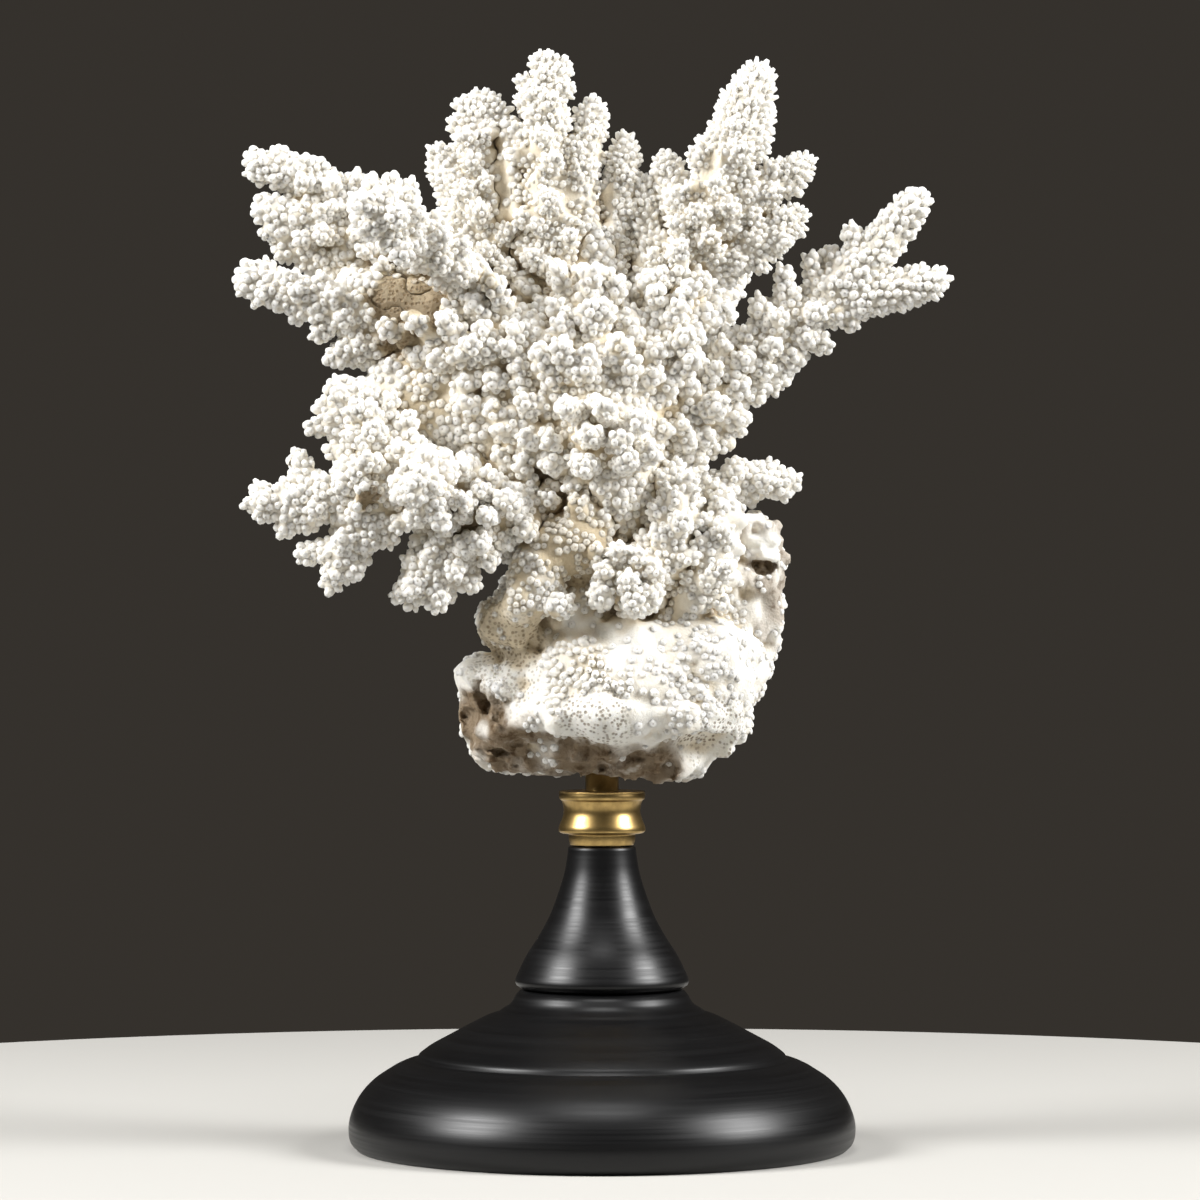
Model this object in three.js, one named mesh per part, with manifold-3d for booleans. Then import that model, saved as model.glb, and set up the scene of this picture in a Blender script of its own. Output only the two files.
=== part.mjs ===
// A branching stony coral on a turned wooden stand, as a three.js scene graph.
// Millimetres, +Z up, -Y towards the front. The origin is the centre of the stand's underside.
import * as THREE from "three";
import { mergeVertices } from "three/addons/utils/BufferGeometryUtils.js";
import Module from "manifold-3d";

const wasm = await Module();
wasm.setup();

// Driving dimensions of the stand.
const FOOT_RADIUS = 76;
const FOOT_HEIGHT = 47.6;
const NECK_TOP = 90.6;
const COLLAR_TOP = 107.2;
const ROD_RADIUS = 5;
const ROD_TOP = 138;
const ROD_BOTTOM = 32;
const CORAL_UNDERSIDE = 109;

// Clearances: round the rod in its holes, and between pieces that touch.
const ROD_CLEARANCE = 0.3;
const JOINT_GAP = 0.3;

// Facets of turned pieces, of limbs and their twigs, and the subdivision of boulders.
const FOOT_SIDES = 32;
const NECK_SIDES = 24;
const COLLAR_SIDES = 18;
const ROD_SIDES = 12;
const LIMB_SIDES = 6;
const TWIG_SIDES = 4;
const BOULDER_DETAIL = 1;

// A limb's rounded tip: how far it reaches past the last point, and its width, as shares of the radius.
const DOME_REACH = 0.6;
const DOME_WIDTH = 0.55;

// How twigs grow: how far back towards the root of its limb a twig starts, and its radii.
const TWIG_LEAN = 6;
const TWIG_BASE_RADIUS = 4.6;
const TWIG_TIP_RADIUS = 2.8;

const LIVE_CORAL = { color: 0xf4f0e6, roughness: 0.85, metalness: 0 };
const BLACK_WOOD = { color: 0x1a1a1b, roughness: 0.38, metalness: 0 };
const BRASS = { color: 0xb08a3c, roughness: 0.32, metalness: 1 };

// A closed three.js geometry as a solid that can be joined and cut.
function solidOf(geometry) {
  const bare = geometry.clone();
  bare.deleteAttribute("normal");
  bare.deleteAttribute("uv");
  const merged = mergeVertices(bare, 1e-4);
  return new wasm.Manifold(
    new wasm.Mesh({
      numProp: 3,
      vertProperties: new Float32Array(merged.attributes.position.array),
      triVerts: new Uint32Array(merged.index.array),
    }),
  );
}

// A solid's triangles as a three.js geometry.
function geometryOf(solid) {
  const shape = solid.getMesh();
  const geometry = new THREE.BufferGeometry();
  geometry.setAttribute("position", new THREE.BufferAttribute(shape.vertProperties, 3));
  geometry.setIndex(new THREE.BufferAttribute(shape.triVerts, 1));
  geometry.computeVertexNormals();
  return geometry;
}

function joined(solids) {
  return solids.reduce((whole, piece) => whole.add(piece));
}

// The biggest of the bodies that a cut leaves, so that no crumb stays behind.
function biggestBody(solid) {
  return solid.decompose().reduce((best, body) => (body.volume() > best.volume() ? body : best));
}

// A round limb along a smooth curve through [x, y, z, radius] points, with a domed tip.
class Limb {
  constructor(points) {
    this.points = points;
    this.curve = new THREE.CatmullRomCurve3(points.map(([x, y, z]) => new THREE.Vector3(x, y, z)));
  }

  radiusAt(t) {
    const place = t * (this.points.length - 1);
    const before = Math.min(Math.floor(place), this.points.length - 2);
    return THREE.MathUtils.lerp(this.points[before][3], this.points[before + 1][3], place - before);
  }

  // The limb's closed solid, thicker and longer by grow.
  solid(grow = 0) {
    const steps = this.points.length - 1;
    const tube = new THREE.CylinderGeometry(1, 1, steps + 1, LIMB_SIDES, steps + 1);
    const position = tube.attributes.position;
    const frames = this.curve.computeFrenetFrames(steps);
    for (let i = 0; i < position.count; i++) {
      const ring = Math.round(position.getY(i) + (steps + 1) / 2);
      const step = Math.min(ring, steps);
      const onDome = ring > steps;
      const bare = this.radiusAt(step / steps);
      const radius = (bare + grow) * (onDome ? DOME_WIDTH : 1);
      const ahead = onDome ? DOME_REACH * bare + grow : ring === 0 ? -grow : 0;
      const place = this.curve
        .getPoint(step / steps)
        .addScaledVector(frames.tangents[step], ahead)
        .addScaledVector(frames.normals[step], -radius * position.getX(i))
        .addScaledVector(frames.binormals[step], radius * position.getZ(i));
      position.setXYZ(i, place.x, place.y, place.z);
    }
    return solidOf(tube);
  }

  // How far a place is outside the limb, and where along the limb that is.
  nearest(place) {
    let best = { distance: Infinity, t: 0 };
    for (let t = 0; t <= 1; t += 0.05) {
      const distance = this.curve.getPoint(t).distanceTo(place) - this.radiusAt(t);
      if (distance < best.distance) best = { distance, t };
    }
    return best;
  }
}

// A straight tapered twig from the middle of a limb out to its tip.
class Twig {
  constructor([x, y, z, radius = TWIG_TIP_RADIUS], limbs) {
    this.tip = new THREE.Vector3(x, y, z);
    const choices = limbs.map((limb) => ({ limb, ...limb.nearest(this.tip) }));
    const { limb, t } = choices.reduce((best, one) => (one.distance < best.distance ? one : best));
    const back = Math.max(0, t - TWIG_LEAN / limb.curve.getLength());
    this.root = limb.curve.getPoint(back);
    this.tipRadius = radius;
    this.rootRadius = Math.min((TWIG_BASE_RADIUS * radius) / TWIG_TIP_RADIUS, limb.radiusAt(back));
  }

  // The twig's closed solid, thicker and longer by grow.
  solid(grow = 0) {
    const along = this.tip.clone().sub(this.root);
    const length = along.length() + grow;
    const turn = new THREE.Quaternion().setFromUnitVectors(THREE.Object3D.DEFAULT_UP, along.normalize());
    const cone = new THREE.CylinderGeometry(
      this.tipRadius + grow,
      this.rootRadius + grow,
      length,
      TWIG_SIDES,
    );
    cone.translate(0, length / 2, 0);
    cone.applyQuaternion(turn);
    cone.translate(this.root.x, this.root.y, this.root.z);
    return solidOf(cone);
  }
}

// A branch: its limbs, and the tips of the twigs that stand out of them.
class Branch {
  constructor(limbs, tips) {
    this.limbs = limbs.map((points) => new Limb(points));
    this.twigs = tips.map((tip) => new Twig(tip, this.limbs));
  }

  solid(grow = 0) {
    return joined([...this.limbs, ...this.twigs].map((piece) => piece.solid(grow)));
  }
}

// Rounded boulders, [x, y, z, rx, ry, rz] each, joined and cut off flat below.
class Boulders {
  constructor(lumps, floor = -Infinity) {
    this.lumps = lumps;
    this.floor = floor;
  }

  solid(grow = 0) {
    const whole = joined(
      this.lumps.map(([x, y, z, rx, ry, rz], i) => {
        const lump = new THREE.IcosahedronGeometry(1, BOULDER_DETAIL);
        lump.rotateZ(i);
        lump.scale(rx + grow, ry + grow, rz + grow);
        lump.translate(x, y, z);
        return solidOf(lump);
      }),
    );
    if (!Number.isFinite(this.floor)) return whole;
    const below = new THREE.BoxGeometry(400, 400, 100);
    below.translate(0, 0, this.floor - grow - 50);
    return whole.subtract(solidOf(below));
  }
}

// A drilled hole for the rod, from one height to another.
function rodHole(from, to) {
  const radius = ROD_RADIUS + ROD_CLEARANCE;
  const hole = new THREE.CylinderGeometry(radius, radius, to - from, ROD_SIDES);
  hole.rotateX(Math.PI / 2);
  hole.translate(0, 0, (from + to) / 2);
  return solidOf(hole);
}

// A turned piece from its [radius, height] profile, which starts and ends on the axis.
function turned(profile, sides) {
  const lathe = new THREE.LatheGeometry(
    profile.map(([r, z]) => new THREE.Vector2(r, z)),
    sides,
  );
  lathe.rotateX(Math.PI / 2);
  return solidOf(lathe);
}

// The foot: an ovolo plinth, an ogee dome and a small collar that the neck stands on.
function foot() {
  const profile = [
    [0, 0],
    [73.4, 0],
    [FOOT_RADIUS - 0.4, 2.4],
    [FOOT_RADIUS, 5.6],
    [74.8, 11.4],
    [71, 17.4],
    [65.2, 21.6],
    [61.6, 24.8],
    [54.8, 27.6],
    [46.5, 32],
    [39, 37.4],
    [31.4, 42],
    [26.4, FOOT_HEIGHT],
    [0, FOOT_HEIGHT],
  ];
  return turned(profile, FOOT_SIDES).subtract(rodHole(ROD_BOTTOM - 1, FOOT_HEIGHT + 1));
}

// The neck: a bell that narrows to the collar's width.
function neck() {
  const bottom = FOOT_HEIGHT + JOINT_GAP;
  const profile = [
    [0, bottom],
    [24, bottom],
    [25.6, 49],
    [26, 50.6],
    [24.6, 53.8],
    [22.3, 58.2],
    [19.4, 63],
    [16.8, 67.6],
    [14.6, 72.2],
    [11.6, 81.2],
    [10.4, 87.2],
    [10.1, NECK_TOP],
    [0, NECK_TOP],
  ];
  return turned(profile, NECK_SIDES).subtract(rodHole(bottom - 1, NECK_TOP + 1));
}

// The brass collar: a waisted spool on a narrow foot ring.
function collar() {
  const bottom = NECK_TOP + JOINT_GAP;
  const profile = [
    [0, bottom],
    [9.4, bottom],
    [10, 94.2],
    [11.2, 94.6],
    [13, 94.8],
    [13, 96.8],
    [12.4, 98.4],
    [11.6, 100.6],
    [11.5, 102.4],
    [12.1, 104.2],
    [12.7, 104.6],
    [12.8, COLLAR_TOP],
    [0, COLLAR_TOP],
  ];
  return turned(profile, COLLAR_SIDES).subtract(rodHole(bottom - 1, COLLAR_TOP + 1));
}

function rod() {
  const length = ROD_TOP - ROD_BOTTOM;
  const bar = new THREE.CylinderGeometry(ROD_RADIUS, ROD_RADIUS, length, ROD_SIDES);
  bar.rotateX(Math.PI / 2);
  bar.translate(0, 0, ROD_BOTTOM + length / 2);
  return solidOf(bar);
}

// The coral, forks first. Where two pieces meet, the earlier one keeps its shape.
const CORAL = {
  crown: new Branch(
    [
      [[3, -1, 166, 19], [2, -4, 190, 22], [0, -7, 214, 25], [-6, -6, 240, 21], [-8, -4, 258, 14]],
      [[-2, -8, 214, 19], [-22, -9, 238, 18], [-39, -7, 254, 12]],
      [[6, -6, 222, 19], [18, -6, 244, 16], [25, -4, 258, 11]],
      [[8, -1, 206, 16], [26, -2, 220, 15], [38, 0, 232, 11]],
      [[-12, 2, 206, 13], [-38, 6, 222, 10], [-60, 7, 234, 6]],
      [[2, 10, 186, 16], [0, 16, 212, 18], [-2, 14, 238, 14]],
    ],
    [
      [-42, -29, 246],
      [-22, -34, 236],
      [-26, -31, 256],
      [-8, -36, 222],
      [-4, -32, 248],
      [12, -32, 238],
      [26, -25, 252],
      [44, -2, 216],
    ],
  ),
  holdfast: new Boulders(
    [
      [3, 0, 134, 43, 34, 27],
      [28, -2, 145, 24, 28, 20],
      [-22, 1, 124, 25, 27, 17],
      [-28, -6, 158, 12, 14, 9],
      [-4, 6, 160, 28, 26, 18],
      [-16, -14, 174, 14, 13, 13],
      [7, -20, 171, 13, 12, 12],
      [22, -6, 178, 19, 21, 17],
      [47, -2, 178, 10, 11, 13],
      [47, -3, 161, 9, 11, 13],
    ],
    CORAL_UNDERSIDE,
  ),
  lower_left_branch: new Branch(
    [
      [[-14, -10, 190, 17], [-34, -18, 192, 19], [-54, -22, 196, 18], [-70, -23, 204, 14]],
      [[-64, -24, 198, 13], [-86, -25, 193, 10], [-100, -24, 193, 7]],
      [[-66, -25, 190, 12], [-76, -27, 178, 9], [-79, -28, 170, 4.5]],
      [[-58, -22, 206, 14], [-71, -20, 217, 12], [-76, -19, 226, 7]],
      [[-40, -20, 186, 15], [-54, -24, 176, 11], [-59, -25, 169, 7]],
      [[-50, -24, 196, 15], [-53, -38, 198, 10], [-54, -45, 199, 5]],
    ],
    [
      [-104, -24, 199],
      [-101, -25, 187],
      [-92, -28, 176],
      [-88, -20, 217],
      [-92, -22, 207],
      [-69, -20, 231],
      [-78, -40, 199],
      [-70, -42, 212],
      [-36, -42, 196],
      [-42, -38, 178],
    ],
  ),
  left_low_arm: new Branch(
    [
      [[-42, -4, 240, 12], [-64, -7, 247, 12], [-86, -8, 255, 9.5], [-104, -6, 260, 6]],
      [[-60, -7, 244, 9], [-73, -8, 239, 7.5], [-78, -8, 237, 5]],
    ],
    [
      [-109, -8, 256],
      [-103, -9, 250],
      [-104, -5, 267],
      [-93, -8, 246],
      [-80, -22, 252],
    ],
  ),
  left_high_arm: new Branch(
    [
      [[-36, 4, 256, 12], [-62, 5, 274, 12.5], [-84, 4, 288, 10.5], [-102, 3, 295, 6.5]],
      [[-66, 5, 268, 9], [-86, 3, 273, 8.5], [-98, 2, 275, 6]],
    ],
    [
      [-109, 3, 292],
      [-97, 2, 302],
      [-86, 1, 300],
      [-104, 3, 285],
      [-90, -10, 282],
    ],
  ),
  front_branch: new Branch(
    [[[-36, -10, 256, 10], [-50, -20, 268, 11.5], [-61, -29, 276, 12], [-67, -35, 279, 8]]],
    [
      [-76, -30, 284],
      [-68, -26, 292],
      [-56, -24, 291],
      [-62, -38, 265],
    ],
  ),
  top_left_branch: new Branch(
    [
      [[-26, -2, 256, 13], [-36, 0, 276, 13], [-39, 1, 294, 11.5], [-37, 1, 310, 8.5]],
      [[-36, 0, 276, 9], [-45, 0, 289, 7], [-48, 0, 297, 5]],
    ],
    [
      [-43, 0, 317],
      [-31, 0, 318],
      [-26, 0, 308],
      [-52, -1, 300],
      [-38, -17, 290],
    ],
  ),
  top_centre_branch: new Branch(
    [
      [[-12, -4, 260, 14], [-16, -3, 282, 13.5], [-17, -2, 304, 10.5], [-16, -1, 322, 7.5]],
      [[-12, -3, 280, 10], [-5, -1, 298, 8], [-3, 0, 310, 5.5]],
    ],
    [
      [-20, -1, 330],
      [-10, -1, 329],
      [-28, -1, 322],
      [1, 0, 312],
      [-15, -18, 288],
    ],
  ),
  top_finger: new Branch(
    [[[2, 0, 254, 9], [4, 1, 276, 8], [6, 2, 292, 7], [7, 2, 301, 5]]],
    [[11, 2, 297]],
  ),
  top_right_branch: new Branch(
    [
      [[18, -2, 250, 14], [27, -3, 271, 14.5], [36, -3, 293, 12], [44, -1, 315, 8.5]],
      [[26, -1, 272, 8], [21, 0, 286, 6.5], [19, 1, 295, 4.5]],
      [[36, -2, 276, 10], [50, -1, 288, 9], [58, 0, 294, 6]],
      [[32, -2, 264, 10], [46, -2, 271, 9], [56, -2, 277, 6]],
    ],
    [
      [48, 0, 325],
      [38, -1, 319],
      [54, -1, 316],
      [31, -1, 307],
      [63, -1, 290],
      [57, -4, 269],
      [34, -23, 281],
      [22, -22, 266],
    ],
  ),
  right_arm: new Branch(
    [
      [[30, 1, 224, 13], [47, 2, 240, 13], [66, 3, 253, 10], [82, 2, 268, 7.5], [94, 1, 282, 5.5]],
      [[62, 3, 249, 9], [84, 2, 256, 7], [99, 1, 260, 5.5]],
    ],
    [
      [76, 0, 276],
      [68, 5, 271],
      [57, -2, 258],
      [79, 0, 243],
      [67, -1, 237],
      [52, 0, 227],
      [54, -16, 244],
    ],
  ),
  right_spray: new Branch(
    [[[24, -4, 192, 9], [38, -3, 198, 8.5], [49, -2, 200, 7], [55, -1, 200, 5]]],
    [
      [50, -2, 208],
      [57, -3, 194],
    ],
  ),
  rear_left_arm: new Branch(
    [
      [[-10, 10, 222, 13], [-26, 27, 244, 12], [-40, 42, 264, 10], [-48, 51, 280, 7]],
      [[-24, 25, 240, 10], [-42, 34, 246, 9], [-56, 40, 252, 6]],
    ],
    [
      [-58, 50, 282],
      [-40, 56, 284],
      [-30, 46, 262],
      [-62, 44, 260],
    ],
  ),
  rear_centre_arm: new Branch(
    [
      [[-2, 8, 232, 13], [-3, 28, 258, 12], [-6, 42, 282, 10], [-8, 50, 299, 7]],
      [[-3, 30, 260, 9], [6, 42, 272, 8.5], [12, 50, 284, 6]],
    ],
    [
      [-14, 52, 304],
      [-2, 56, 300],
      [-16, 46, 284],
      [18, 50, 290],
    ],
  ),
  rear_right_arm: new Branch(
    [
      [[12, 8, 220, 13], [28, 25, 238, 12], [40, 40, 252, 9.5], [49, 49, 265, 6.5]],
      [[28, 24, 236, 9], [44, 30, 232, 8.5], [54, 34, 232, 6]],
    ],
    [
      [54, 50, 274],
      [58, 48, 262],
      [38, 52, 262],
      [60, 36, 240],
    ],
  ),
  rear_low_branch: new Branch(
    [
      [[0, 8, 184, 14], [-4, 28, 192, 13], [-12, 42, 204, 10], [-18, 50, 215, 7]],
      [[2, 26, 190, 10], [18, 38, 196, 9.5], [27, 45, 203, 6]],
    ],
    [
      [-26, 52, 218],
      [-14, 58, 214],
      [32, 50, 208],
      [14, 50, 196],
    ],
  ),
};

// Each piece, cut back to leave a gap to the pieces before it, and drilled for the rod.
function coralSolids() {
  const done = [];
  const solids = {};
  for (const [name, piece] of Object.entries(CORAL)) {
    let solid = piece.solid();
    for (const earlier of done) solid = solid.subtract(earlier);
    solid = solid.subtract(rodHole(CORAL_UNDERSIDE - 1, ROD_TOP + 1));
    solids[name] = biggestBody(solid);
    done.push(piece.solid(JOINT_GAP));
  }
  return solids;
}

function node(name, solid, material) {
  const mesh = new THREE.Mesh(geometryOf(solid), new THREE.MeshStandardMaterial(material));
  mesh.name = name;
  return mesh;
}

const stand = new THREE.Group();
stand.add(node("foot", foot(), BLACK_WOOD));
stand.add(node("neck", neck(), BLACK_WOOD));
stand.add(node("collar", collar(), BRASS));
stand.add(node("rod", rod(), BRASS));

const coral = new THREE.Group();
for (const [name, solid] of Object.entries(coralSolids())) {
  coral.add(node(name, solid, LIVE_CORAL));
}

const part = new THREE.Group();
part.add(stand, coral);

export default part;
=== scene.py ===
"""The looks of a branching stony coral on a black turned stand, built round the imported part.

Every length in this script is in millimetres until a mesh is made, and -Y is the front.
"""

import itertools
import logging
import math
from collections.abc import Iterable, Sequence
from dataclasses import dataclass, field
from enum import Enum
from typing import Any

import bpy
import numpy as np
import openvdb
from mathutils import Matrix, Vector

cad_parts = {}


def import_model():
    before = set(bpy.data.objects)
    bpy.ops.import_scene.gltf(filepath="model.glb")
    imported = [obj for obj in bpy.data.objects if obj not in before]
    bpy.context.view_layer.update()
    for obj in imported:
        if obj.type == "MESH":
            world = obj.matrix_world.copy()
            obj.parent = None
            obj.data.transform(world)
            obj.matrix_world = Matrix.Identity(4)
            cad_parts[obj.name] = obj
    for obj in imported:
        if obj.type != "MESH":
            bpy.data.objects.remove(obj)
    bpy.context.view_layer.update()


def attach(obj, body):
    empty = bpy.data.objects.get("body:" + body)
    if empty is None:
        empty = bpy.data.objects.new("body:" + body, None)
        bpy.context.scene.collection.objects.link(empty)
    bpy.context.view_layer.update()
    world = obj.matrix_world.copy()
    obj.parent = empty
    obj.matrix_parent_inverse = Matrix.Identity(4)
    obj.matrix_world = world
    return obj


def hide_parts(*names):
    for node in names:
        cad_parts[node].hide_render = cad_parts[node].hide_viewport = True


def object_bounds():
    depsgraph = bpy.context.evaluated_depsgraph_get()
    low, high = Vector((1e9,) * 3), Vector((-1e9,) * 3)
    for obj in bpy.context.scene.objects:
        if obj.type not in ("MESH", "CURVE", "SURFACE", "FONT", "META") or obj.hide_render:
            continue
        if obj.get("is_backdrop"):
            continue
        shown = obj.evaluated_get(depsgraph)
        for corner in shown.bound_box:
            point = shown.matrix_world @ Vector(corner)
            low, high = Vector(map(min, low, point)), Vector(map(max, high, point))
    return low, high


LOG = logging.getLogger("coral")

MM = 0.001
FAR = 1000.0
TINY = 1e-6
TRUNK = 0
GOLDEN_ANGLE = math.radians(137.5)


# ---------------------------------------------------------------- small helpers


def linear_colour(hex_value: str) -> tuple[float, float, float, float]:
    """Turns an sRGB hex colour into the linear colour that a shader takes.

    Args:
        hex_value: The colour as "#RRGGBB".

    Returns:
        Linear red, green, blue and an alpha of 1.
    """
    channels = [int(hex_value[i : i + 2], 16) / 255 for i in (1, 3, 5)]
    linear = [c / 12.92 if c <= 0.04045 else ((c + 0.055) / 1.055) ** 2.4 for c in channels]
    return (*linear, 1.0)


def add_node(
    tree: bpy.types.NodeTree,
    kind: str,
    links: dict[str | int, bpy.types.NodeSocket] | None = None,
    values: dict[str | int, Any] | None = None,
    **settings: Any,
) -> bpy.types.Node:
    """Adds a node to a tree with its settings, socket values and links.

    Args:
        tree: The shader or geometry tree.
        kind: The node's type name.
        links: Input socket, by name or number, to the output that feeds it.
        values: Input socket, by name or number, to its fixed value.
        settings: The node's own properties.

    Returns:
        The new node.
    """
    node = tree.nodes.new(kind)
    for name, setting in settings.items():
        setattr(node, name, setting)
    for name, value in (values or {}).items():
        node.inputs[name].default_value = value
    for name, source in (links or {}).items():
        tree.links.new(source, node.inputs[name])
    return node


def lattice_noise(places: np.ndarray, wavelength: float, seed: int) -> np.ndarray:
    """Smooth seeded noise that is the same for the same place.

    Args:
        places: Points, one a row.
        wavelength: How far apart the noise's own lattice points are.
        seed: Which noise.

    Returns:
        One value a point, from -1 to 1.
    """
    scaled = places / wavelength
    cell = np.floor(scaled).astype(np.int64)
    share = scaled - cell
    share = share * share * (3 - 2 * share)
    total = np.zeros(len(places))
    for corner in itertools.product((0, 1), repeat=3):
        at = cell + np.array(corner)
        mixed = at[:, 0] * 73856093 ^ at[:, 1] * 19349663 ^ at[:, 2] * 83492791 ^ seed * 2654435761
        mixed = (mixed ^ (mixed >> 13)) * 1274126177 & 0x7FFFFFFF
        mixed = (mixed ^ (mixed >> 11)) & 0xFFFF
        weight = np.prod(np.where(corner, share, 1 - share), axis=1)
        total += weight * mixed / 0xFFFF
    return 2 * total - 1


def smooth_step(low: float, high: float, value: np.ndarray) -> np.ndarray:
    """Rises smoothly from 0 at low to 1 at high."""
    share = np.clip((value - low) / (high - low), 0, 1)
    return share * share * (3 - 2 * share)


def unit(vectors: np.ndarray) -> np.ndarray:
    """Scales vectors, one a row, to length 1."""
    return vectors / np.maximum(np.linalg.norm(vectors, axis=-1, keepdims=True), 1e-9)


def curve_through(knots: np.ndarray, step: float, least: int) -> np.ndarray:
    """A smooth curve through knots, with a point about every step.

    Args:
        knots: The knots, one a row, of which the first three numbers at most are the place.
        step: About how far apart the points are.
        least: The fewest points from one knot to the next.

    Returns:
        The curve's points, as long a row as a knot's.
    """
    padded = np.vstack([2 * knots[0] - knots[1], knots, 2 * knots[-1] - knots[-2]])
    line = []
    for a, b, c, d in zip(padded, padded[1:], padded[2:], padded[3:]):
        count = max(least, round(float(np.linalg.norm((c - b)[:3])) / step))
        t = (np.arange(count) / count)[:, None]
        curve = 2 * b + (c - a) * t + (2 * a - 5 * b + 4 * c - d) * t**2
        line.append(0.5 * (curve + (3 * b - a - 3 * c + d) * t**3))
    return np.vstack([*line, knots[-1:]])


def new_object(name: str, mesh: bpy.types.Mesh) -> bpy.types.Object:
    """Puts a mesh in the scene as an object at the origin.

    Args:
        name: The object's name.
        mesh: Its mesh.

    Returns:
        The object.
    """
    made = bpy.data.objects.new(name, mesh)
    bpy.context.scene.collection.objects.link(made)
    return made


def mesh_of(name: str, points: np.ndarray, faces: Sequence[Sequence[int]]) -> bpy.types.Mesh:
    """Makes a smooth-shaded mesh from points in millimetres.

    Args:
        name: The mesh's name.
        points: Points, one a row.
        faces: Point numbers of each face.

    Returns:
        The mesh, in metres.
    """
    mesh = bpy.data.meshes.new(name)
    corners = [list(map(int, face)) for face in faces]
    mesh.from_pydata((np.asarray(points) * MM).tolist(), [], corners)
    mesh.shade_smooth()
    return mesh


def declare(piece: bpy.types.Object, node: str) -> None:
    """Attaches a piece to the root, hides the part node that it stands for and logs its faces.

    Args:
        piece: The finished piece.
        node: The part node.
    """
    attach(piece, "root")
    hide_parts(node)
    LOG.info("%s: %d faces", piece.name, len(piece.data.polygons))


# ---------------------------------------------------------------- finishes


@dataclass(frozen=True)
class TurnedFinish:
    """What every finish on the stand shares: fine rings from the lathe, and cloudy worn patches.

    Attributes:
        name: The material's name.
        slot: The record's material slot.
        colour: The colour where it is fresh.
        worn: The colour where it is worn or aged.
        wear: The cloudiness where wear starts and where it is full, and how much there is then.
        cloud_pitch: How far apart the clouds are.
        cloud_noise: How finely the clouds are broken, and how rough their edges are.
        ring_pitch: How far apart the rings are.
        ring_noise: How finely the rings are broken, and how rough they are.
        ring_depth: How deep they are.
        ring_strength: How much of that depth shows.
        ring_squeeze: The noise's scale round the axis, as a share of its scale along it.
        gloss: The least and the greatest roughness.
        gloss_limits: The noise at each of the two.
        ringed_gloss: Whether the gloss follows the rings, or else the clouds.
        socket_values: The shader's other values.
    """

    name: str
    slot: str
    colour: str
    worn: str
    wear: tuple[float, float, float]
    cloud_pitch: float
    cloud_noise: tuple[float, float]
    ring_pitch: float
    ring_noise: tuple[float, float]
    ring_depth: float
    ring_strength: float
    ring_squeeze: float
    gloss: tuple[float, float]
    gloss_limits: tuple[float, float]
    ringed_gloss: bool
    socket_values: tuple[tuple[str, float], ...]

    def material(self) -> bpy.types.Material:
        """Makes the finish, with rings round the axis that is the object's Z."""
        made = bpy.data.materials.new(self.name)
        made.use_nodes = True
        tree = made.node_tree
        shader = tree.nodes["Principled BSDF"]
        place = add_node(tree, "ShaderNodeTexCoord").outputs["Object"]
        # The noise is stretched flat in X and Y, so that it runs round the axis.
        squeezed = {"Scale": (self.ring_squeeze, self.ring_squeeze, 1.0)}
        lathe = add_node(tree, "ShaderNodeMapping", {"Vector": place}, squeezed).outputs["Vector"]
        noises = []
        for vector, pitch, (detail, roughness) in (
            (place, self.cloud_pitch, self.cloud_noise),
            (lathe, self.ring_pitch, self.ring_noise),
        ):
            values = {"Scale": 1 / (pitch * MM), "Detail": detail, "Roughness": roughness}
            noise = add_node(tree, "ShaderNodeTexNoise", {"Vector": vector}, values)
            noises.append(noise.outputs["Fac"])
        clouds, rings = noises
        start, full, most = self.wear
        limits = {"From Min": start, "From Max": full, "To Max": most}
        wear = add_node(tree, "ShaderNodeMapRange", {"Value": clouds}, limits).outputs["Result"]
        colours = {"Color1": linear_colour(self.colour), "Color2": linear_colour(self.worn)}
        tone = add_node(tree, "ShaderNodeMixRGB", {"Fac": wear}, colours).outputs["Color"]
        limits = dict(zip(("From Min", "From Max"), self.gloss_limits))
        limits |= dict(zip(("To Min", "To Max"), self.gloss))
        source = {"Value": rings if self.ringed_gloss else clouds}
        gloss = add_node(tree, "ShaderNodeMapRange", source, limits).outputs["Result"]
        relief = {"Strength": self.ring_strength, "Distance": self.ring_depth * MM}
        bump = add_node(tree, "ShaderNodeBump", {"Height": rings}, relief).outputs["Normal"]
        for socket, source in (("Base Color", tone), ("Roughness", gloss), ("Normal", bump)):
            tree.links.new(source, shader.inputs[socket])
        for socket, value in self.socket_values:
            shader.inputs[socket].default_value = value
        return made


@dataclass(frozen=True)
class LacqueredBeech(TurnedFinish):
    """Turned beech under satin black lacquer: near black, with soft streaked highlights."""

    name: str = "satin_black_lacquered_beech"
    slot: str = "black_wood"
    colour: str = "#060607"
    worn: str = "#0C0C0D"
    wear: tuple[float, float, float] = (0.0, 1.0, 1.0)
    cloud_pitch: float = 18.0
    cloud_noise: tuple[float, float] = (4.0, 0.6)
    # Real marks are about 0.3 mm apart, too fine to show, so they are drawn three times as coarse.
    ring_pitch: float = 0.9
    ring_noise: tuple[float, float] = (3.0, 0.6)
    ring_depth: float = 0.02
    ring_strength: float = 0.25
    ring_squeeze: float = 0.01
    gloss: tuple[float, float] = (0.31, 0.43)
    gloss_limits: tuple[float, float] = (0.3, 0.7)
    ringed_gloss: bool = True
    socket_values: tuple[tuple[str, float], ...] = (("IOR", 1.5), ("Specular IOR Level", 0.36))


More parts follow.
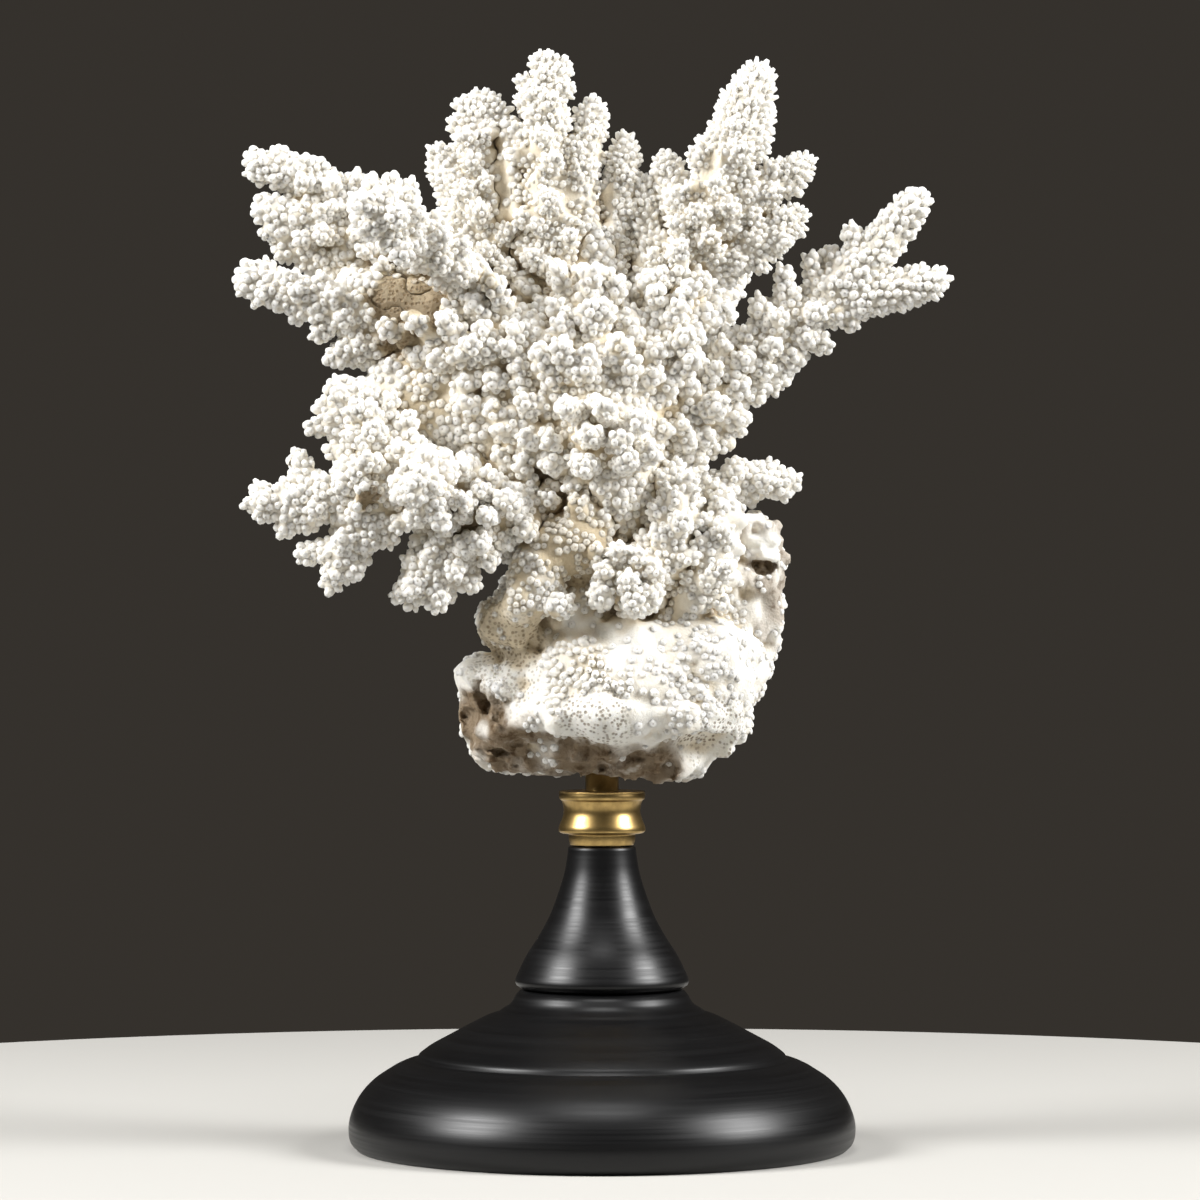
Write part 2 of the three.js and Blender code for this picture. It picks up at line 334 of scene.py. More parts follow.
@dataclass(frozen=True)
class SatinBrass(TurnedFinish):
    """Turned brass, left satin and lightly aged: warm gold with fine lines and browner clouds."""

    name: str = "satin_turned_brass"
    slot: str = "brass"
    colour: str = "#BFA268"
    worn: str = "#7A6240"
    wear: tuple[float, float, float] = (0.4, 0.75, 0.7)
    cloud_pitch: float = 4.0
    cloud_noise: tuple[float, float] = (5.0, 0.65)
    # Real turning lines are about 0.1 mm apart, and are drawn three times as coarse to show.
    ring_pitch: float = 0.35
    ring_noise: tuple[float, float] = (2.0, 0.5)
    ring_depth: float = 0.01
    ring_strength: float = 0.3
    ring_squeeze: float = 0.02
    gloss: tuple[float, float] = (0.24, 0.44)
    gloss_limits: tuple[float, float] = (0.0, 1.0)
    ringed_gloss: bool = False
    socket_values: tuple[tuple[str, float], ...] = (("Metallic", 1.0),)


@dataclass(frozen=True)
class Share:
    """How much a value lets through: nothing at low, and most at high and past it."""

    source: str
    low: float = 0.0
    high: float = 1.0
    most: float = 1.0


@dataclass(frozen=True)
class Layer:
    """A colour that lies over the ones before it as much as all of its shares let through."""

    colour: str
    shares: tuple[Share, ...]


@dataclass(frozen=True)
class CoralSkeleton:
    """Dry bleached aragonite: chalky white, with cream and tan in its hollows that are partly
    stains and partly painted shade.

    Attributes:
        slot: The record's material slot.
        white: The bleached skeleton.
        layers: What lies over it.
        pores: Where the pores are, which are pits in the relief and are painted dark as well, as
            painted shade in the holes.
        pore_pitch: How far apart they are.
        pore_scatter: How unevenly they stand.
        patches: The pitch and the fineness of each patchy noise, by its name.
        patch_roughness: How rough the patches' edges are.
        crag_height: How much higher a crag of the rock is than the grain of the skin.
        relief: How much of the relief shows, and how high the grain is.
        roughness: The shader's roughness: chalky.
        ior: Its refractive index, aragonite's own.
        sheen: Its specular level: low, as on any chalky thing.
        glow: How much light goes in and out again, which is what makes coral look soft.
        glow_reach: How many millimetres red, green and blue go.
    """

    slot: str = "coral"
    white: str = "#F9F6EF"
    layers: tuple[Layer, ...] = (
        # Painted shade between the cups, then cream and tan into the hollows, partly painted shade
        # and partly stains, and rust, a stain, in the deepest.
        Layer("#F2EADA", (Share("living"),)),
        Layer("#DBCBAC", (Share("hollow", 0.12, 0.55, 0.95),)),
        Layer("#806F56", (Share("hollow", 0.4, 0.85, 0.9), Share("broad", 0.1, 0.5))),
        Layer("#B5763A", (Share("hollow", 0.75, 1.0, 0.35), Share("middling", 0.58, 0.7))),
        # Old reef rock and the dark brown stains in it, painted darker than the rock's own colour,
        # partly as painted shade under the trunk's lip.
        Layer("#8A7963", (Share("rock"), Share("crusty", 0.12, 0.38))),
        Layer("#5E4930", (Share("rock"), Share("spotty", 0.5, 0.64, 0.9))),
        # A cup is painted white from its root to its rim, less so down in a hollow, which leaves
        # painted shade at its root and in the hollows.
        Layer("#F9F6EF", (Share("rise"), Share("hollow", 1.0, 0.25, 0.9))),
        # The pores of the bare skin, darker in the hollows, and the pit of each cup: painted dark,
        # as painted shade in the holes.
        Layer("#7E6A4D", (Share("pores"), Share("hollow", -0.8, 0.3, 0.9))),
        Layer("#7E6A4D", (Share("pit", 0.4, 1.0, 0.6),)),
    )
    # A pore is dark to about a quarter of the way to the next one.
    pores: tuple[Share, ...] = (Share("cells", 0.48, 0.24), Share("bare"))
    # Real pores are about half as far apart, and are drawn coarser to show.
    pore_pitch: float = 1.3
    pore_scatter: float = 0.8
    patches: tuple[tuple[str, float, float], ...] = (
        # Where the tan, partly painted shade, and the rust gather in the hollows.
        ("broad", 14.0, 3.0),
        ("middling", 9.0, 3.0),
        # The plates of the rock, the stains in it and its crags.
        ("crusty", 6.0, 3.0),
        ("spotty", 3.0, 6.0),
        ("craggy", 2.2, 6.0),
        # The real grain is about a tenth of this, too fine to show, so it is drawn coarser.
        ("grainy", 0.7, 4.0),
    )
    patch_roughness: float = 0.6
    crag_height: float = 4.0
    relief: tuple[float, float] = (0.8, 0.45)
    roughness: float = 0.8
    ior: float = 1.53
    sheen: float = 0.3
    glow: float = 0.5
    glow_reach: tuple[float, float, float] = (2.0, 1.9, 1.7)

    def material(self) -> bpy.types.Material:
        """Makes the skeleton's colour, painted shade in the hollows included, from what the growth
        left on its surface.
        """
        made = bpy.data.materials.new("bleached_coral_aragonite")
        made.use_nodes = True
        tree = made.node_tree
        sources = self.sources(tree)
        colour = add_node(tree, "ShaderNodeRGB").outputs["Color"]
        colour.default_value = linear_colour(self.white)
        for layer in self.layers:
            links = {"Fac": self.amount(tree, sources, layer.shares), "Color1": colour}
            values = {"Color2": linear_colour(layer.colour)}
            colour = add_node(tree, "ShaderNodeMixRGB", links, values).outputs["Color"]
        skin = {0: sources["grainy"], 1: sources["pores"]}
        height = add_node(tree, "ShaderNodeMath", skin, operation="SUBTRACT").outputs[0]
        crags = self.amount(tree, sources, (Share("rock"), Share("craggy")))
        both, share = {0: crags, 2: height}, {1: self.crag_height}
        height = add_node(tree, "ShaderNodeMath", both, share, operation="MULTIPLY_ADD").outputs[0]
        strength, distance = self.relief
        relief = {"Strength": strength, "Distance": distance * MM}
        bump = add_node(tree, "ShaderNodeBump", {"Height": height}, relief)
        shader = tree.nodes["Principled BSDF"]
        tree.links.new(colour, shader.inputs["Base Color"])
        tree.links.new(bump.outputs["Normal"], shader.inputs["Normal"])
        for socket, value in (
            ("Roughness", self.roughness),
            ("IOR", self.ior),
            ("Specular IOR Level", self.sheen),
            ("Subsurface Weight", self.glow),
            ("Subsurface Radius", self.glow_reach),
            ("Subsurface Scale", MM),
        ):
            shader.inputs[socket].default_value = value
        return made

    def sources(self, tree: bpy.types.NodeTree) -> dict[str, bpy.types.NodeSocket]:
        """Adds every value that the layers read.

        Args:
            tree: The material's tree.

        Returns:
            Each value's socket, by its name.
        """
        found = {}
        for name in ("living", "hollow", "rock", "bare", "rise", "pit"):
            found[name] = add_node(tree, "ShaderNodeAttribute", attribute_name=name).outputs["Fac"]
        place = {"Vector": add_node(tree, "ShaderNodeTexCoord").outputs["Object"]}
        for name, pitch, detail in self.patches:
            values = {"Scale": 1 / (pitch * MM), "Detail": detail}
            values["Roughness"] = self.patch_roughness
            found[name] = add_node(tree, "ShaderNodeTexNoise", place, values).outputs["Fac"]
        values = {"Scale": 1 / (self.pore_pitch * MM), "Randomness": self.pore_scatter}
        found["cells"] = add_node(tree, "ShaderNodeTexVoronoi", place, values).outputs["Distance"]
        found["pores"] = self.amount(tree, found, self.pores)
        return found

    def amount(
        self,
        tree: bpy.types.NodeTree,
        sources: dict[str, bpy.types.NodeSocket],
        shares: tuple[Share, ...],
    ) -> bpy.types.NodeSocket:
        """Works out how much all of some shares let through together.

        Args:
            tree: The material's tree.
            sources: The values that they read, by name.
            shares: The shares.

        Returns:
            The amount, from 0 to 1.
        """
        passed = []
        for share in shares:
            source = {"Value": sources[share.source]}
            limits = {"From Min": share.low, "From Max": share.high, "To Max": share.most}
            passed.append(add_node(tree, "ShaderNodeMapRange", source, limits).outputs["Result"])
        total, *others = passed
        for other in others:
            both = {0: total, 1: other}
            total = add_node(tree, "ShaderNodeMath", both, operation="MULTIPLY").outputs[0]
        return total


# ---------------------------------------------------------------- the stand


@dataclass(frozen=True)
class TurnedPiece:
    """A piece turned on a lathe.

    Attributes:
        node: The part node that it stands for.
        runs: Its profile as smooth runs of (radius, height), each starting where the last ended.
        arris: How much is taken off each corner between two runs.
        sides: How many flats go round it.
        step: How far apart the points of a curved run are.
    """

    node: str
    runs: Sequence[Sequence[tuple[float, float]]]
    arris: float = 0.35
    sides: int = 144
    step: float = 1.2

    def profile(self) -> np.ndarray:
        """The profile as one line of points, with its corners eased."""
        line: list[np.ndarray] = []
        for run in self.runs:
            curve = np.array(run, float)
            if len(curve) > 2:
                curve = curve_through(curve, self.step, 2)
            for end, inner in ((0, 1), (-1, -2)):
                away = curve[inner] - curve[end]
                length = np.linalg.norm(away)
                if curve[end][0] > TINY:
                    curve[end] = curve[end] + away / length * min(self.arris, length / 3)
            line.extend(curve)
        return np.array(line)

    def build(self, finish: bpy.types.Material, slot: str) -> bpy.types.Object:
        """Spins the profile into a closed mesh.

        Args:
            finish: The material.
            slot: The record's material slot; not used.

        Returns:
            The finished piece.
        """
        line = self.profile()
        on_axis = line[:, 0] < TINY
        angles = np.arange(self.sides) * 2 * math.pi / self.sides
        points: list[tuple[float, float, float]] = []
        rows = []
        for (radius, height), axial in zip(line, on_axis):
            rows.append((len(points), axial))
            around = [0.0] if axial else angles
            points += [(radius * math.cos(a), radius * math.sin(a), height) for a in around]
        pairs = list(zip(rows, rows[1:]))
        if not on_axis[0]:
            pairs.append((rows[-1], rows[0]))
        faces = []
        for (low, low_axial), (high, high_axial) in pairs:
            for i in range(self.sides):
                j = (i + 1) % self.sides
                corners = [low if low_axial else low + i, low if low_axial else low + j]
                corners += [high if high_axial else high + j, high if high_axial else high + i]
                face = list(dict.fromkeys(corners))
                if len(face) > 2:
                    faces.append(face)
        mesh = mesh_of(self.node, np.array(points), faces)
        mesh.materials.append(finish)
        piece = new_object(f"turned_{self.node}", mesh)
        declare(piece, self.node)
        return piece


@dataclass(frozen=True)
class Stand:
    """The black turned stand with its brass collar and rod.

    Attributes:
        bore: The radius of the hole that the rod stands in.
        rod_radius: The rod's own.
        wood: The finish of the foot and the neck.
        brass: The finish of the collar and the rod.
    """

    bore: float = 5.3
    rod_radius: float = 5.0
    wood: TurnedFinish = field(default_factory=LacqueredBeech)
    brass: TurnedFinish = field(default_factory=SatinBrass)

    def pieces(self) -> Iterable[tuple[TurnedPiece, TurnedFinish]]:
        """The turned pieces, each with its finish."""
        yield TurnedPiece(
            "foot",
            [
                [(0, 0), (73.2, 0)],
                [(73.2, 0), (75.3, 2.2), (76, 5.8), (75.3, 10.4), (72.6, 16), (68.4, 20.6)]
                + [(62.4, 24.6)],
                [(62.4, 24.6), (59, 26.1), (55.6, 26.7)],
                [(55.6, 26.7), (54.9, 28.3)],
                [(54.9, 28.3), (51.5, 30.8), (46, 33.8), (40, 37), (34.6, 39.7), (31, 40.9)],
                [(31, 40.9), (30.2, 41.6)],
                [(30.2, 41.6), (27.3, 43.5), (25.9, 46)],
                [(25.9, 46), (24.4, 47.6)],
                [(24.4, 47.6), (self.bore, 47.6)],
                [(self.bore, 47.6), (self.bore, 31)],
                [(self.bore, 31), (0, 31)],
            ],
        ), self.wood
        yield TurnedPiece(
            "neck",
            [
                [(self.bore, 47.9), (23.6, 47.9)],
                [(23.6, 47.9), (25.6, 49), (26, 50.6), (24.7, 53.7), (22.4, 58.3), (19.4, 62.9)]
                + [(16.8, 67.5), (14.7, 72.1), (11.6, 81.3), (10.5, 87), (10.1, 90.5)],
                [(10.1, 90.5), (self.bore, 90.5)],
                [(self.bore, 90.5), (self.bore, 47.9)],
            ],
        ), self.wood
        yield TurnedPiece(
            "collar",
            [
                [(self.bore, 90.9), (9.5, 90.9)],
                [(9.5, 90.9), (9.9, 92.5), (10, 94.3)],
                [(10, 94.3), (12.2, 94.5)],
                [(12.2, 94.5), (12.9, 95), (13, 95.9), (12.8, 96.8)],
                [(12.8, 96.8), (12.2, 98.2), (11.6, 100), (11.45, 101.4), (11.7, 103)]
                + [(12.2, 104.4)],
                [(12.2, 104.4), (12.7, 104.7), (12.9, 105.6), (12.8, 106.7)],
                [(12.8, 106.7), (12.3, 107.2), (self.bore, 107.2)],
                [(self.bore, 107.2), (self.bore, 90.9)],
            ],
            arris=0.15,
            step=0.4,
        ), self.brass
        yield TurnedPiece(
            "rod",
            [
                [(0, 32), (self.rod_radius, 32)],
                [(self.rod_radius, 32), (self.rod_radius, 138)],
                [(self.rod_radius, 138), (0, 138)],
            ],
            sides=64,
        ), self.brass

    def build(self) -> None:
        """Builds every piece of the stand."""
        materials = {finish.slot: finish.material() for finish in (self.wood, self.brass)}
        for piece, finish in self.pieces():
            piece.build(materials[finish.slot], finish.slot)


# ---------------------------------------------------------------- how the coral grows

Place = tuple[float, float, float]
Section = tuple[float, float, float, float]


@dataclass(frozen=True)
class Growth:
    """What a habit does to a limb.

    Attributes:
        core_share: The thinnest that its core is, as a share of the full radius.
        reach: The most that the full radius stands out of the core.
        lean: How far branchlets lean towards the tip, as a slope; none grow where it is None.
        cup_size: How long its cups are, 1 being usual.
        cup_share: How densely they stand, 1 being as close as they fit.
    """

    core_share: float
    reach: float
    lean: float | None
    cup_size: float
    cup_share: float


class Habit(Enum):
    """How a limb's surface grows."""

    KNOBBLY = Growth(0.36, 10.0, 0.6, 1.0, 1.0)
    FLOWING = Growth(0.42, 8.2, 1.1, 1.0, 1.0)
    SLENDER = Growth(0.5, 1.9, None, 1.4, 0.95)
    WEB = Growth(0.8, 1.0, None, 0.7, 0.9)


@dataclass(frozen=True)
class Limb:
    """A limb of the coral, as thick as its branchlets reach.

    Attributes:
        sections: The centre and the full radius at each section, root first.
        habit: How its surface grows.
    """

    sections: Sequence[Section]
    habit: Habit = Habit.KNOBBLY


@dataclass(frozen=True)
class CupSize:
    """How big a branch's cups are: their least spacing, their radius and their length."""

    spacing: float = 2.1
    radius: float = 1.2
    length: float = 1.3


class Cups(Enum):
    """The sizes that cups come in."""

    STOUT = CupSize()
    WIDE = CupSize(2.3, 1.3, 1.3)
    FINE = CupSize(1.7, 0.88, 1.5)
    LOW = CupSize(2.0, 1.05, 1.1)


@dataclass(frozen=True)
class Branch:
    """A branch between two forks.

    Attributes:
        node: The part node that it stands for.
        limbs: Its limbs.
        tips: The tips of its boldest twigs.
        cups: The size of its cups.
    """

    node: str
    limbs: Sequence[Limb]
    tips: Sequence[Place] = ()
    cups: Cups = Cups.STOUT


@dataclass(frozen=True)
class Lump:
    """A rounded lump of the trunk: its centre and its half sizes."""

    centre: Place
    half: Place


@dataclass(frozen=True)
class Spot:
    """A round area of the colony: its centre, its radius and how strong it is."""

    centre: Place
    radius: float
    strength: float = 1.0


@dataclass(frozen=True)
class Slot:
    """A round-ended slot in the colony: its two ends, its radius and how soft its edges are."""

    root: Place
    tip: Place
    radius: float
    softness: float = 1.0


@dataclass(frozen=True)
class Stem:
    """A tapered round stem, the stuff that limbs and branchlets are made of."""

    root: np.ndarray
    tip: np.ndarray
    root_radius: float
    tip_radius: float
    node: int
    cup_size: float
    cup_share: float


class GrowthField:
    """The colony as distances from its surface, on a grid in millimetres.

    Attributes:
        STEP_ACROSS: From where to where, across the trunk, its flat underside steps up.
        RIND: How many grid steps of the distance to each side of the surface a mesh is made from.
        CLEAR: How deep inside the whole colony a branch's cuts reach at least.
    """

    STEP_ACROSS = (19.0, 10.0)
    RIND = 3.0
    CLEAR = 0.5

    def __init__(self, low: Place, high: Place, pitch: float) -> None:
        """Sets up an empty field.

        Args:
            low: The grid's lowest corner.
            high: Its highest corner.
            pitch: The distance between grid points.
        """
        self.low = np.array(low, float)
        self.pitch = pitch
        self.shape = tuple(int(n) for n in np.ceil((np.array(high) - self.low) / pitch) + 1)
        self.axes = [self.low[i] + pitch * np.arange(self.shape[i]) for i in range(3)]
        self.distance = np.full(self.shape, FAR, np.float32)
        self.nearness = np.full(self.shape, FAR, np.float32)
        self.nearest = np.zeros(self.shape, np.int32)
        self.own: dict[int, np.ndarray] = {}
        self.directions: list[np.ndarray] = []
        self.nodes: list[int] = []
        self.cup_sizes: list[float] = []
        self.cup_shares: list[float] = []

    def window(self, low: np.ndarray, high: np.ndarray) -> tuple[slice, ...]:
        """The part of the grid between two corners.

        Args:
            low: The lowest corner.
            high: The highest.

        Returns:
            The grid's slice along each axis.
        """
        first = np.floor((low - self.low) / self.pitch).astype(int)
        last = np.ceil((high - self.low) / self.pitch).astype(int) + 1
        limits = zip(np.clip(first, 0, self.shape), np.clip(last, 0, self.shape))
        return tuple(slice(int(a), int(b)) for a, b in limits)

    def offsets(self, window: tuple[slice, ...], centre: np.ndarray) -> list[np.ndarray]:
        """How far each grid point of a window is from a centre, along each axis.

        Args:
            window: The part of the grid.
            centre: The centre.

        Returns:
            One array an axis, shaped so that the three spread over the window.
        """
        shapes = ((-1, 1, 1), (1, -1, 1), (1, 1, -1))
        return [
            (axis[part] - middle).reshape(shape)
            for axis, part, middle, shape in zip(self.axes, window, centre, shapes)
        ]

    def blend(self, window: tuple[slice, ...], distance: np.ndarray, blend: float) -> None:
        """Joins a shape to the field with a fillet, and remembers where it is the nearest.

        Args:
            window: The part of the grid that the shape touches.
            distance: The shape's own distances there.
            blend: The fillet's size.
        """
        distance = distance.astype(np.float32)
        old = self.distance[window]
        fillet = np.maximum(blend - np.abs(old - distance), 0) / blend
        self.distance[window] = np.minimum(old, distance) - fillet * fillet * blend / 4
        closer = distance < self.nearness[window]
        self.nearness[window][closer] = distance[closer]
        self.nearest[window][closer] = len(self.nodes) - 1
        node = self.nodes[-1]
        if node not in self.own:
            self.own[node] = np.full(self.shape, FAR, np.float32)
        self.own[node][window] = np.minimum(self.own[node][window], distance)

    def around(
        self, root: np.ndarray, tip: np.ndarray, reach: float
    ) -> tuple[tuple[slice, ...], np.ndarray, np.ndarray]:
        """Measures the grid round a line.

        Args:
            root: Where the line starts.
            tip: Where it ends.
            reach: How far from it the grid matters.

        Returns:
            The window round the line, and each of its grid points' distance from the line and
            share of the way along it.
        """
        along = tip - root
        corners = np.array([root, tip])
        margin = reach + 2 * self.pitch
        window = self.window(corners.min(axis=0) - margin, corners.max(axis=0) + margin)
        offsets = self.offsets(window, root)
        run = sum(offset * part for offset, part in zip(offsets, along))
        share = np.clip(run / max(along @ along, TINY), 0, 1)
        gap = np.sqrt(sum((offset - share * part) ** 2 for offset, part in zip(offsets, along)))
        return window, gap, share

    def remember(self, direction: np.ndarray, node: int, cup_size: float, cup_share: float) -> None:
        """Keeps what the next shape gives to the surface that it is nearest to.

        Args:
            direction: The way that it grows.
            node: The number of the branch that it belongs to.
            cup_size: How long its cups are.
            cup_share: How densely they stand.
        """
        self.directions.append(direction)
        self.nodes.append(node)
        self.cup_sizes.append(cup_size)
        self.cup_shares.append(cup_share)

    def add_stem(self, stem: Stem, blend: float) -> None:
        """Grows a stem into the colony.

        Args:
            stem: The stem.
            blend: The fillet to what is there.
        """
        along = stem.tip - stem.root
        direction = along / max(np.linalg.norm(along), TINY)
        self.remember(direction, stem.node, stem.cup_size, stem.cup_share)
        reach = max(stem.root_radius, stem.tip_radius) + blend
        window, gap, share = self.around(stem.root, stem.tip, reach)
        radius = stem.root_radius + share * (stem.tip_radius - stem.root_radius)
        self.blend(window, gap - radius, blend)

    def add_lump(self, lump: Lump, node: int, blend: float, cup_size: float) -> None:
        """Grows a rounded lump into the colony.

        Args:
            lump: The lump.
            node: The number of the branch that it belongs to.
            blend: The fillet to what is there.
            cup_size: How long the cups on it are.
        """
        # A lump has no way to grow, so its cups lean forward and up to the light.
        self.remember(np.array((0.0, -0.25, 0.6)), node, cup_size, 1.0)
        centre, half = np.array(lump.centre, float), np.array(lump.half, float)
        reach = half + blend + 2 * self.pitch
        window = self.window(centre - reach, centre + reach)
        offsets = self.offsets(window, centre)
        scaled = np.sqrt(sum((o / h) ** 2 for o, h in zip(offsets, half)))
        steep = np.sqrt(sum((o / h**2) ** 2 for o, h in zip(offsets, half)))
        self.blend(window, scaled * (scaled - 1) / np.maximum(steep, TINY), blend)

    def carve(self, slot: Slot) -> None:
        """Takes a slot out of the colony.

        Args:
            slot: The slot.
        """
        start, end = np.array(slot.root, float), np.array(slot.tip, float)
        window, gap, _ = self.around(start, end, slot.radius + slot.softness)
        cut = (slot.radius - gap).astype(np.float32)
        old = self.distance[window]
        edge = np.maximum(slot.softness - np.abs(old - cut), 0) / slot.softness
        self.distance[window] = np.maximum(old, cut) + edge * edge * slot.softness / 4

    def roughen(self, roughness: "Roughness") -> None:
        """Moves the surface in and out by noise, and by more where it is rock.

        Args:
            roughness: How uneven it is.
        """
        close = np.nonzero(np.abs(self.distance) < roughness.reach)
        places = np.stack([axis[index] for axis, index in zip(self.axes, close)], axis=1)
        self.distance[close] += roughness.at(places).astype(np.float32)

    def flatten_below(self, height: float, rise: float) -> None:
        """Cuts the colony off below.

        Args:
            height: The height of the cut at the right.
            rise: How much higher the cut is at the left and in the middle.
        """
        cut = height + rise * smooth_step(*self.STEP_ACROSS, self.axes[0])
        below = cut.reshape(-1, 1, 1) - self.axes[2].reshape(1, 1, -1)
        self.distance = np.maximum(self.distance, below.astype(np.float32))

    def cells_within(self, low: float, high: float) -> np.ndarray:
        """The grid points whose distance from the surface is between two.

        Args:
            low: The least distance, less than 0 inside.
            high: The greatest.

        Returns:
            Their places, one a row.
        """
        close = np.nonzero((self.distance > low) & (self.distance < high))
        return np.stack([axis[index] for axis, index in zip(self.axes, close)], axis=1)

    def sample(self, grid: np.ndarray, places: np.ndarray) -> np.ndarray:
        """A grid's smoothly interpolated value at each place.

        Args:
            grid: Values on this field's grid.
            places: Points, one a row.

        Returns:
            One value a point.
        """
        scaled = (places - self.low) / self.pitch
        cell = np.clip(np.floor(scaled).astype(int), 0, np.array(self.shape) - 2)
        share = np.clip(scaled - cell, 0, 1)
        total = np.zeros(len(places))
        for corner in itertools.product((0, 1), repeat=3):
            weight = np.prod(np.where(corner, share, 1 - share), axis=1)
            total += weight * grid[tuple((cell + np.array(corner)).T)]
        return total

    def crowding(self, radius: float) -> np.ndarray:
        """How full of coral the neighbourhood of each grid point is.

        Args:
            radius: The neighbourhood's half width.

        Returns:
            A grid of shares from 0 to 1, about 0.5 on a flat surface.
        """
        filled = (self.distance < 0).astype(np.float32)
        reach = max(1, round(radius / self.pitch / 2))
        for axis in (0, 1, 2, 0, 1, 2):
            pad = [(0, 0)] * 3
            pad[axis] = (reach + 1, reach)
            running = np.cumsum(np.pad(filled, pad), axis=axis, dtype=np.float32)
            count = filled.shape[axis]
            ahead = np.take(running, np.arange(2 * reach + 1, 2 * reach + 1 + count), axis=axis)
            behind = np.take(running, np.arange(count), axis=axis)
            filled = (ahead - behind) / (2 * reach + 1)
        return filled

    def cells(self, places: np.ndarray) -> tuple[np.ndarray, ...]:
        """The grid point nearest to each place.

        Args:
            places: Points, one a row.

        Returns:
            The grid points' index along each axis.
        """
        index = np.rint((places - self.low) / self.pitch).astype(int)
        return tuple(np.clip(index, 0, np.array(self.shape) - 1).T)

    def body(self, node: int) -> tuple[np.ndarray, np.ndarray]:
        """A branch's share of the colony, cut off halfway to the stems of its neighbours.

        Args:
            node: The number of the branch.

        Returns:
            The points in millimetres of one or more closed shells, and each face's four corners.
        """
        mine = self.own[node]
        reached = np.nonzero(mine < FAR)
        window = tuple(slice(max(int(i.min()) - 2, 0), int(i.max()) + 3) for i in reached)
        others = np.full_like(mine[window], FAR)
        for number, grid in self.own.items():
            if number != node:
                np.minimum(others, grid[window], out=others)
        share = np.maximum(self.distance[window], (mine[window] - others) / 2)
        grid = openvdb.FloatGrid()
        grid.background = self.RIND
        grid.copyFromArray(np.clip(share / self.pitch, -self.RIND, self.RIND))
        points, _, quads = grid.convertToPolygons(isovalue=0.0, adaptivity=0.0)
        quads = quads.astype(np.int64)
        points = self.low + (points + [part.start for part in window]) * self.pitch
        # A speck that floats clear of the colony has no cut in it, unlike a branch's share of it.
        deep = self.sample(self.distance, points) < -self.CLEAR
        label = shells(quads, len(points))
        attached = np.isin(label, np.unique(label[deep]))
        quads = quads[attached[quads[:, 0]]]
        used, quads = np.unique(quads, return_inverse=True)
        points, quads = points[used], quads.reshape(-1, 4)
        a, b, c = (points[quads[:, i]] for i in range(3))
        if np.einsum("ij,ij->", a - points.mean(axis=0), np.cross(b - a, c - a)) < 0:
            quads = quads[:, ::-1]
        return points, quads


def shells(quads: np.ndarray, count: int) -> np.ndarray:
    """Which connected shell each point is in.

    Args:
        quads: Point numbers of each face, one a row.
        count: How many points there are.

    Returns:
        For each point, the least point number in its shell.
    """
    label = np.arange(count)
    ends = np.concatenate([quads[:, [i, (i + 1) % 4]] for i in range(4)])
    while True:
        least = np.minimum(label[ends[:, 0]], label[ends[:, 1]])
        updated = label.copy()
        np.minimum.at(updated, ends[:, 0], least)
        np.minimum.at(updated, ends[:, 1], least)
        updated = updated[updated]
        if np.array_equal(updated, label):
            return label
        label = updated


@dataclass(frozen=True)
class Roughness:
    """How uneven the surface is.

    Attributes:
        rocks: Areas of old, rough reef rock.
        swell: How far the whole surface wanders in and out.
        trunk_swell: How far the trunk's does besides.
        trunk_top: Between which heights the trunk's swell fades out.
        grit: How craggy the rock is.
        crag_height: How far a crag stands out, as a share of the grit.
        crag_level: What is taken off, so that the rock is no thicker for its crags.
        reach: How far from the surface the grid is moved.
    """

    rocks: Sequence[Spot]
    swell: float = 0.5
    trunk_swell: float = 1.6
    trunk_top: tuple[float, float] = (172.0, 158.0)
    grit: float = 2.6
    crag_height: float = 1.6
    crag_level: float = 0.45
    reach: float = 4.0

    def at(self, places: np.ndarray) -> np.ndarray:
        """How far the surface is moved at each place.

        Args:
            places: Points, one a row.

        Returns:
            The change of distance at each point.
        """
        smooth = self.swell * lattice_noise(places, 7, 11)
        waves = lattice_noise(places, 12, 15) + 0.45 * lattice_noise(places, 4.5, 16)
        smooth += self.trunk_swell * waves * smooth_step(*self.trunk_top, places[:, 2])
        rock = within(self.rocks, places)
        crags = np.abs(lattice_noise(places, 5, 12)) + 0.6 * np.abs(lattice_noise(places, 2.4, 13))
        return smooth + rock * self.grit * (self.crag_height * crags - self.crag_level)


def within(spots: Sequence[Spot], places: np.ndarray) -> np.ndarray:
    """How far inside any of some round areas each place is.

    Args:
        spots: The areas.
        places: Points, one a row.

    Returns:
        A share a point, 0 outside, and each area's strength well inside it.
    """
    best = np.zeros(len(places))
    ragged = 0.25 * lattice_noise(places, 5, 21)
    for spot in spots:
        away = np.linalg.norm(places - np.array(spot.centre), axis=1) / spot.radius
        best = np.maximum(best, spot.strength * smooth_step(1.15, 0.7, away + ragged))
    return best


